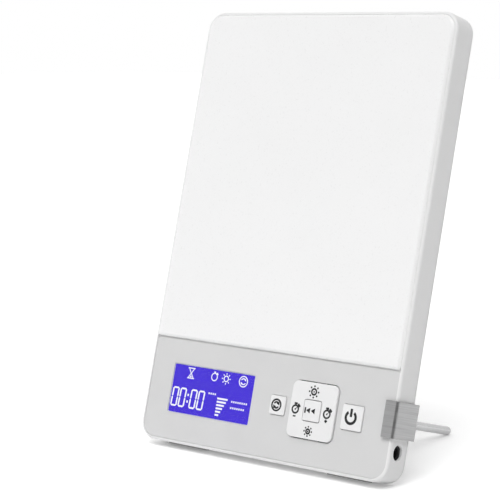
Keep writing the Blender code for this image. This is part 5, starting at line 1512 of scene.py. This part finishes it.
class LAMP_OT_clip(Operator):
    """The bent steel strip that grips the panel's right edge: hook, side and back leaf"""

    bl_idname = "lamp.clip"
    bl_label = "Clip"

    def execute(self, context):
        sizes = context.scene.lamp_clip
        block = Block("stand_clip")
        outer = sizes.bend + sizes.metal
        bend_x = block.right - outer
        front_bend = block.front + outer
        back_bend = block.back - outer
        clip = start_box(
            "clip_strip", (block.right - sizes.hook, bend_x), (block.front, block.front + sizes.metal),
            (block.bottom, block.top))
        pick_faces(clip, lambda middle, normal: normal.x > FACING)
        bend_on(bend_x, front_bend)
        bpy.ops.mesh.extrude_region_move(
            TRANSFORM_OT_translate={"value": (0.0, back_bend - front_bend, 0.0)})
        bend_on(bend_x, back_bend)
        bpy.ops.mesh.extrude_region_move(
            TRANSFORM_OT_translate={"value": (block.left - bend_x, 0.0, 0.0)})
        bpy.ops.mesh.select_all(action="SELECT")
        bpy.ops.mesh.remove_doubles(threshold=NEAR / 10)
        bpy.ops.mesh.normals_make_consistent(inside=False)
        close_mesh()
        self.report_open(clip)
        pivot = Block("leg_pivot_pin")
        for up in (-1, 1):
            centre = (pivot.x + sizes.rivet_inset, 0.0, pivot.z + up * sizes.rivet_spread)
            cut(clip, rod(
                "rivet_hole", BACK, centre, sizes.rivet_hole, block.back - 2 * sizes.metal,
                block.back + OVERRUN, 32))
        round_sharp_edges(clip, sizes.burr, 2, lambda a, b: True, clamp=True)
        settle(clip, "brushed_clip", "brushed_steel", "clip", "stand_clip")
        return {"FINISHED"}

    def report_open(self, piece):
        """Raises an error if the bent strip isn't one closed shape."""
        mesh = bmesh.new()
        mesh.from_mesh(piece.data)
        loose = [edge for edge in mesh.edges if len(edge.link_faces) != 2]
        mesh.free()
        if loose:
            raise RuntimeError("%s has %d open edges" % (piece.name, len(loose)))


class LAMP_OT_clip_rubber(Operator):
    """The rubber pad between the clip's leaf and the rear cover"""

    bl_idname = "lamp.clip_rubber"
    bl_label = "Clip rubber"

    def execute(self, context):
        block = Block("clip_pad")
        corner = context.scene.lamp_clip.pad_corner
        plate = Plate(block.left, block.right, block.bottom, block.top, corner)
        rubber = slab("clip_rubber", plate, block.front, block.back, 6)
        round_edges(rubber, corner / 6, 2, on_plane(BACK, block.front))
        settle(rubber, "moulded_rubber", "grey_rubber", "clip", "clip_pad")
        return {"FINISHED"}


class LAMP_OT_hinge(Operator):
    """The leg's hinge: bracket with two ears, two rivets and the headed pin"""

    bl_idname = "lamp.hinge"
    bl_label = "Leg hinge"

    def execute(self, context):
        sizes = context.scene.lamp_clip
        self.make_bracket(sizes)
        self.make_rivets(sizes)
        self.make_pin(sizes)
        return {"FINISHED"}

    def make_bracket(self, sizes):
        block, pin = Block("pivot_bracket"), Block("leg_pivot_pin")
        plate_back = block.front + sizes.bracket
        plate = Plate(block.left, block.right, block.bottom, block.top, sizes.bracket_corner)
        bracket = slab("hinge_bracket", plate, block.front, plate_back, 6)
        round_edges(bracket, sizes.burr, 2, on_plane(BACK, plate_back))
        inner = sizes.knuckle_half + sizes.gap
        for up in (-1, 1):
            heights = sorted((pin.z + up * inner, pin.z + up * (inner + sizes.ear)))
            start = block.front + sizes.bracket / 2
            half = sizes.ear_half
            ear = start_box("ear", (pin.x - half, pin.x + half), (start, pin.y + half), heights)
            upright = along(UP)
            round_edges(ear, half, 14, lambda a, b: upright(a, b) and a.y > pin.y)
            self.weld(ear)
            round_edges(ear, sizes.burr / 2, 1, on_plane(UP, heights[1]))
            join_on(bracket, ear)
        for up in (-1, 1):
            centre = (pin.x + sizes.rivet_inset, 0.0, pin.z + up * sizes.rivet_spread)
            cut(bracket, rod(
                "rivet_hole", BACK, centre, sizes.rivet_hole, block.front - OVERRUN, plate_back + OVERRUN, 32))
        cut(bracket, rod(
            "pin_hole", UP, (pin.x, pin.y, 0.0), sizes.pin + sizes.gap, block.bottom - OVERRUN,
            block.top + OVERRUN, 40))
        settle(bracket, "zinc_plate", "zinc_steel", "clip", "pivot_bracket")

    def weld(self, piece):
        """Two roundings that meet leave points on top of each other."""
        open_mesh(piece, "VERT")
        bpy.ops.mesh.select_all(action="SELECT")
        bpy.ops.mesh.remove_doubles(threshold=NEAR)
        close_mesh()

    def make_rivets(self, sizes):
        for number in (1, 2):
            node = "bracket_rivet_%d" % number
            block = Block(node)
            head = (block.right - block.left) / 2
            shank = sizes.rivet_hole - sizes.gap
            inner = block.front + sizes.rivet_head
            outer = block.back - sizes.rivet_head
            profile = [
                (block.front, head * 0.6),
                (block.front + sizes.rivet_head / 2, head),
                (inner, head),
                (inner, shank),
                (outer, shank),
                (outer, head),
            ]
            # The domed head at the back
            for share in (0.35, 0.6, 0.8, 0.93):
                profile.append((outer + sizes.rivet_head * share, head * math.sqrt(1 - share ** 2)))
            profile.append((block.back, 0.0))
            rivet = turned("rivet_%d" % number, BACK, (block.x, 0.0, block.z), profile, 32)
            settle(rivet, "turned_steel", "polished_steel", "clip", node)

    def make_pin(self, sizes):
        block = Block("leg_pivot_pin")
        head, shank, height = sizes.pin_head, sizes.pin, sizes.pin_head_height
        # One head, from its end to the shank; the other is the same, the other way up
        half = [(0.0, shank), (height * 0.2, head * 0.85), (height / 2, head), (height, head), (height, shank)]
        profile = [(block.bottom + rise, radius) for rise, radius in half]
        profile += [(block.top - rise, radius) for rise, radius in reversed(half)]
        pin = turned("hinge_pin", UP, (block.x, block.y, 0.0), profile, 40)
        settle(pin, "turned_steel", "polished_steel", "clip", "leg_pivot_pin")


class LAMP_OT_leg(Operator):
    """The knuckle on the hinge's pin, and the round rod screwed into its end"""

    bl_idname = "lamp.leg"
    bl_label = "Leg"

    def execute(self, context):
        sizes = context.scene.lamp_clip
        self.make_knuckle(sizes)
        self.make_rod(sizes)
        return {"FINISHED"}

    def make_knuckle(self, sizes):
        block, pin, bar_block = Block("leg_knuckle"), Block("leg_pivot_pin"), Block("leg_rod")
        half = sizes.knuckle_half
        knuckle = start_box(
            "leg_joint", (block.left, block.right), (block.front, block.back), (block.bottom, block.top))
        upright = along(UP)
        round_edges(
            knuckle, half - NEAR, 12,
            lambda a, b: upright(a, b) and a.y < pin.y and a.x < block.x)
        edge = sizes.knuckle_edge
        round_edges(knuckle, edge, 3, on_plane(BACK, block.back))
        round_edges(knuckle, edge / 2, 2, on_plane(UP, block.top))
        round_edges(knuckle, edge / 2, 2, on_plane(UP, block.bottom))
        cut(knuckle, rod(
            "pin_hole", UP, (pin.x, pin.y, 0.0), sizes.pin + sizes.gap, block.bottom - OVERRUN,
            block.top + OVERRUN, 40))
        socket = [(bar_block.front - sizes.gap, sizes.spigot + sizes.gap),
                  (block.back + OVERRUN, sizes.spigot + sizes.gap)]
        cut(knuckle, turned("socket", BACK, (bar_block.x, 0.0, bar_block.z), socket, 32))
        settle(knuckle, "zinc_plate", "zinc_steel", "leg", "leg_knuckle")

    def make_rod(self, sizes):
        block = Block("leg_rod")
        radius = (block.right - block.left) / 2
        shoulder = block.front + sizes.spigot_length
        chamfer = sizes.shoulder
        profile = [
            (block.front, sizes.spigot),
            (shoulder, sizes.spigot),
            (shoulder, radius - chamfer),
            (shoulder + chamfer / 3, radius - chamfer / 3),
            (shoulder + chamfer, radius),
        ]
        tip = block.back - radius
        steps = 14
        for i in range(steps):
            turn = QUARTER * i / steps
            profile.append((tip + radius * math.sin(turn), radius * math.cos(turn)))
        profile.append((block.back, 0.0))
        leg = turned("leg_bar", BACK, (block.x, 0.0, block.z), profile, sizes.sides)
        settle(leg, "turned_steel", "polished_steel", "leg", "leg_rod")


# Pieces inside, which keep their solids

FINISH_OF_SLOT = {
    "white_plastic": "moulded_white",
    "grey_fascia": "satin_grey",
    "opal_plate": "opal_acrylic",
    "key_plastic": "key_white",
    "clear_plastic": "clear_acrylic",
    "display_glass": "lit_blue",
    "milky_plastic": "milky_nylon",
    "board_laminate": "green_laminate",
    "black_plastic": "moulded_black",
    "tinned_metal": "tinned_brass",
    "aluminium_sheet": "rolled_aluminium",
    "led_strip": "strip_board",
    "brushed_steel": "brushed_clip",
    "polished_steel": "turned_steel",
    "zinc_steel": "zinc_plate",
    "grey_rubber": "moulded_rubber",
}


class LAMP_OT_inner_parts(Operator):
    """Gives each solid of the frame the finish of its material slot"""

    bl_idname = "lamp.inner_parts"
    bl_label = "Inner parts"

    def execute(self, context):
        for entry in frame["record"]["subparts"]:
            piece = frame["nodes"][entry["node"]]
            finish = bpy.data.materials[FINISH_OF_SLOT[entry["material_slot"]]]
            if not piece.material_slots:
                piece.data.materials.append(finish)
            for slot in piece.material_slots:
                slot.material = finish
        return {"FINISHED"}


# Studio

WHITE = (1.0, 1.0, 1.0, 1.0)

# Width in millimetres of the sensor that the lens is given for
SENSOR = 36.0


class LAMP_OT_stage(Operator):
    """Floor, light and camera"""

    bl_idname = "lamp.stage"
    bl_label = "Studio"

    def execute(self, context):
        settings = context.scene.lamp_stage
        self.make_world(context.scene, settings)
        self.make_floor(settings)
        self.make_key_light(settings)
        self.make_camera(context.scene, settings)
        context.scene.view_settings.view_transform = "Standard"
        return {"FINISHED"}

    def seen(self, tree, *kinds):
        """One for rays of those kinds, nought for the others."""
        path = tree.nodes.new("ShaderNodeLightPath")
        total = path.outputs["Is Camera Ray"]
        for kind in kinds:
            step = tree.nodes.new("ShaderNodeMath")
            step.operation = "MAXIMUM"
            tree.links.new(total, step.inputs[0])
            tree.links.new(path.outputs[kind], step.inputs[1])
            total = step.outputs["Value"]
        return total

    def spread(self, tree, value, start, end, first, last):
        """Maps a value between start and end to first and last."""
        node = tree.nodes.new("ShaderNodeMapRange")
        node.interpolation_type = "SMOOTHSTEP"
        for name, number in (("From Min", start), ("From Max", end), ("To Min", first), ("To Max", last)):
            node.inputs[name].default_value = number
        tree.links.new(value, node.inputs["Value"])
        return node.outputs["Result"]

    def surroundings(self, tree, settings):
        """What gloss shows: white all round, darker overhead and behind the camera."""
        towards = tree.nodes.new("ShaderNodeTexCoord")
        parts = tree.nodes.new("ShaderNodeSeparateXYZ")
        tree.links.new(towards.outputs["Generated"], parts.inputs["Vector"])
        facing = tree.nodes.new("ShaderNodeVectorMath")
        facing.operation = "DOT_PRODUCT"
        facing.inputs[1].default_value = (math.sin(settings.azimuth), -math.cos(settings.azimuth), 0.0)
        tree.links.new(towards.outputs["Generated"], facing.inputs[0])
        side = self.spread(
            tree, facing.outputs["Value"], start=0.30, end=0.85, first=1.0, last=settings.dark_side)
        top = self.spread(
            tree, parts.outputs["Z"], start=0.25, end=0.75, first=1.0, last=settings.dark_top)
        return self.product(tree, side, top)

    def product(self, tree, first, second):
        node = tree.nodes.new("ShaderNodeMath")
        node.operation = "MULTIPLY"
        tree.links.new(first, node.inputs[0])
        tree.links.new(second, node.inputs[1])
        return node.outputs["Value"]

    def mixed(self, tree, factor, first, second):
        mix = tree.nodes.new("ShaderNodeMixShader")
        tree.links.new(factor, mix.inputs["Fac"])
        tree.links.new(first, mix.inputs[1])
        tree.links.new(second, mix.inputs[2])
        return mix.outputs["Shader"]

    def make_world(self, scene, settings):
        world = bpy.data.worlds.new("even_sky")
        scene.world = world
        world.use_nodes = True
        tree = world.node_tree
        light = tree.nodes["Background"]
        light.inputs["Color"].default_value = WHITE
        towards = tree.nodes.new("ShaderNodeTexCoord")
        parts = tree.nodes.new("ShaderNodeSeparateXYZ")
        tree.links.new(towards.outputs["Generated"], parts.inputs["Vector"])
        rise = self.spread(
            tree, parts.outputs["Z"], start=0.0, end=1.0, first=settings.sky_low, last=settings.sky_high)
        side = self.spread(
            tree, parts.outputs["X"], start=0.0, end=0.8, first=1.0, last=settings.sky_right)
        tree.links.new(self.product(tree, rise, side), light.inputs["Strength"])
        white = tree.nodes.new("ShaderNodeBackground")
        white.inputs["Color"].default_value = WHITE
        white.inputs["Strength"].default_value = 1.0
        gloss = tree.nodes.new("ShaderNodeBackground")
        gloss.inputs["Color"].default_value = WHITE
        tree.links.new(self.surroundings(tree, settings), gloss.inputs["Strength"])
        path = tree.nodes.new("ShaderNodeLightPath")
        lighting = self.mixed(
            tree, path.outputs["Is Glossy Ray"], light.outputs["Background"], gloss.outputs["Background"])
        whole = self.mixed(
            tree, self.seen(tree, "Is Transmission Ray"), lighting, white.outputs["Background"])
        tree.links.new(whole, tree.nodes["World Output"].inputs["Surface"])

    def make_floor(self, settings):
        bpy.ops.object.select_all(action="DESELECT")
        bpy.ops.mesh.primitive_plane_add(size=settings.floor_size, location=(0.0, 0.0, solid_low.z))
        floor = bpy.context.object
        floor.name = floor.data.name = "floor"
        apply_place(floor)
        material = bpy.data.materials.new("pale_floor")
        material.use_nodes = True
        tree = material.node_tree
        tree.nodes.remove(tree.nodes["Principled BSDF"])
        paint = tree.nodes.new("ShaderNodeBsdfDiffuse")
        paint.inputs["Color"].default_value = (settings.floor, settings.floor, settings.floor, 1.0)
        glow = tree.nodes.new("ShaderNodeEmission")
        glow.inputs["Color"].default_value = WHITE
        lift = tree.nodes.new("ShaderNodeMath")
        lift.operation = "MULTIPLY"
        lift.inputs[1].default_value = settings.floor_glow
        tree.links.new(self.seen(tree, "Is Glossy Ray", "Is Transmission Ray"), lift.inputs[0])
        tree.links.new(lift.outputs["Value"], glow.inputs["Strength"])
        both = tree.nodes.new("ShaderNodeAddShader")
        tree.links.new(paint.outputs["BSDF"], both.inputs[0])
        tree.links.new(glow.outputs["Emission"], both.inputs[1])
        tree.links.new(both.outputs["Shader"], tree.nodes["Material Output"].inputs["Surface"])
        floor.data.materials.append(material)

    def make_key_light(self, settings):
        light = bpy.data.lights.new("key_light", "SUN")
        light.energy = settings.key_light
        light.angle = settings.key_softness
        holder = bpy.data.objects.new("key_light", light)
        bpy.context.scene.collection.objects.link(holder)
        turn, rise = settings.key_turn, settings.key_rise
        towards = Vector((
            math.sin(turn) * math.cos(rise), -math.cos(turn) * math.cos(rise), math.sin(rise)))
        holder.rotation_euler = towards.to_track_quat("Z", "Y").to_euler()
        holder.location = towards

    def make_camera(self, scene, settings):
        data = bpy.data.cameras.new("camera")
        camera = bpy.data.objects.new("camera", data)
        scene.collection.objects.link(camera)
        scene.camera = camera
        data.lens = settings.lens
        data.sensor_width = SENSOR
        data.sensor_fit = "HORIZONTAL"
        turn, rise = settings.azimuth, settings.elevation
        ahead = Vector((-math.sin(turn) * math.cos(rise), math.cos(turn) * math.cos(rise), -math.sin(rise)))
        right = Vector((math.cos(turn), math.sin(turn), 0.0))
        up = right.cross(ahead)
        eye = PANEL.translation + settings.across * right + settings.up * up - settings.distance * ahead
        pose = Matrix((right, up, -ahead)).transposed().to_4x4()
        pose.translation = eye
        camera.matrix_world = pose
        data.clip_start = settings.distance / 100
        data.clip_end = settings.distance * 100


class LAMP_PT_lamp(Panel):
    """Lists the lamp's pieces and their sizes"""

    bl_idname = "LAMP_PT_lamp"
    bl_label = "Light Therapy Lamp"
    bl_space_type = "VIEW_3D"
    bl_region_type = "UI"
    bl_category = "Lamp"

    def draw(self, context):
        layout = self.layout
        for operator in OPERATORS:
            layout.operator(operator.bl_idname)
        for name, group in SETTINGS:
            box = layout.box()
            box.label(text=name.replace("lamp_", "").capitalize())
            for key in group.__annotations__:
                box.prop(getattr(context.scene, name), key)


OPERATORS = (
    LAMP_OT_finishes,
    LAMP_OT_inner_parts,
    LAMP_OT_front_housing,
    LAMP_OT_rear_cover,
    LAMP_OT_housing_screws,
    LAMP_OT_feet,
    LAMP_OT_diffuser,
    LAMP_OT_fascia,
    LAMP_OT_display,
    LAMP_OT_display_marks,
    LAMP_OT_square_keys,
    LAMP_OT_middle_key,
    LAMP_OT_four_way_pad,
    LAMP_OT_key_marks,
    LAMP_OT_power_inlet,
    LAMP_OT_clip,
    LAMP_OT_clip_rubber,
    LAMP_OT_hinge,
    LAMP_OT_leg,
    LAMP_OT_stage,
)


def register():
    for name, group in SETTINGS:
        bpy.utils.register_class(group)
        setattr(bpy.types.Scene, name, PointerProperty(type=group))
    for operator in OPERATORS:
        bpy.utils.register_class(operator)
    bpy.utils.register_class(LAMP_PT_lamp)


def unregister():
    bpy.utils.unregister_class(LAMP_PT_lamp)
    for operator in reversed(OPERATORS):
        bpy.utils.unregister_class(operator)
    for name, group in reversed(SETTINGS):
        delattr(bpy.types.Scene, name)
        bpy.utils.unregister_class(group)


def main():
    register()
    for operator in OPERATORS:
        family, name = operator.bl_idname.split(".")
        getattr(getattr(bpy.ops, family), name)()


if __name__ == "__main__":
    main()
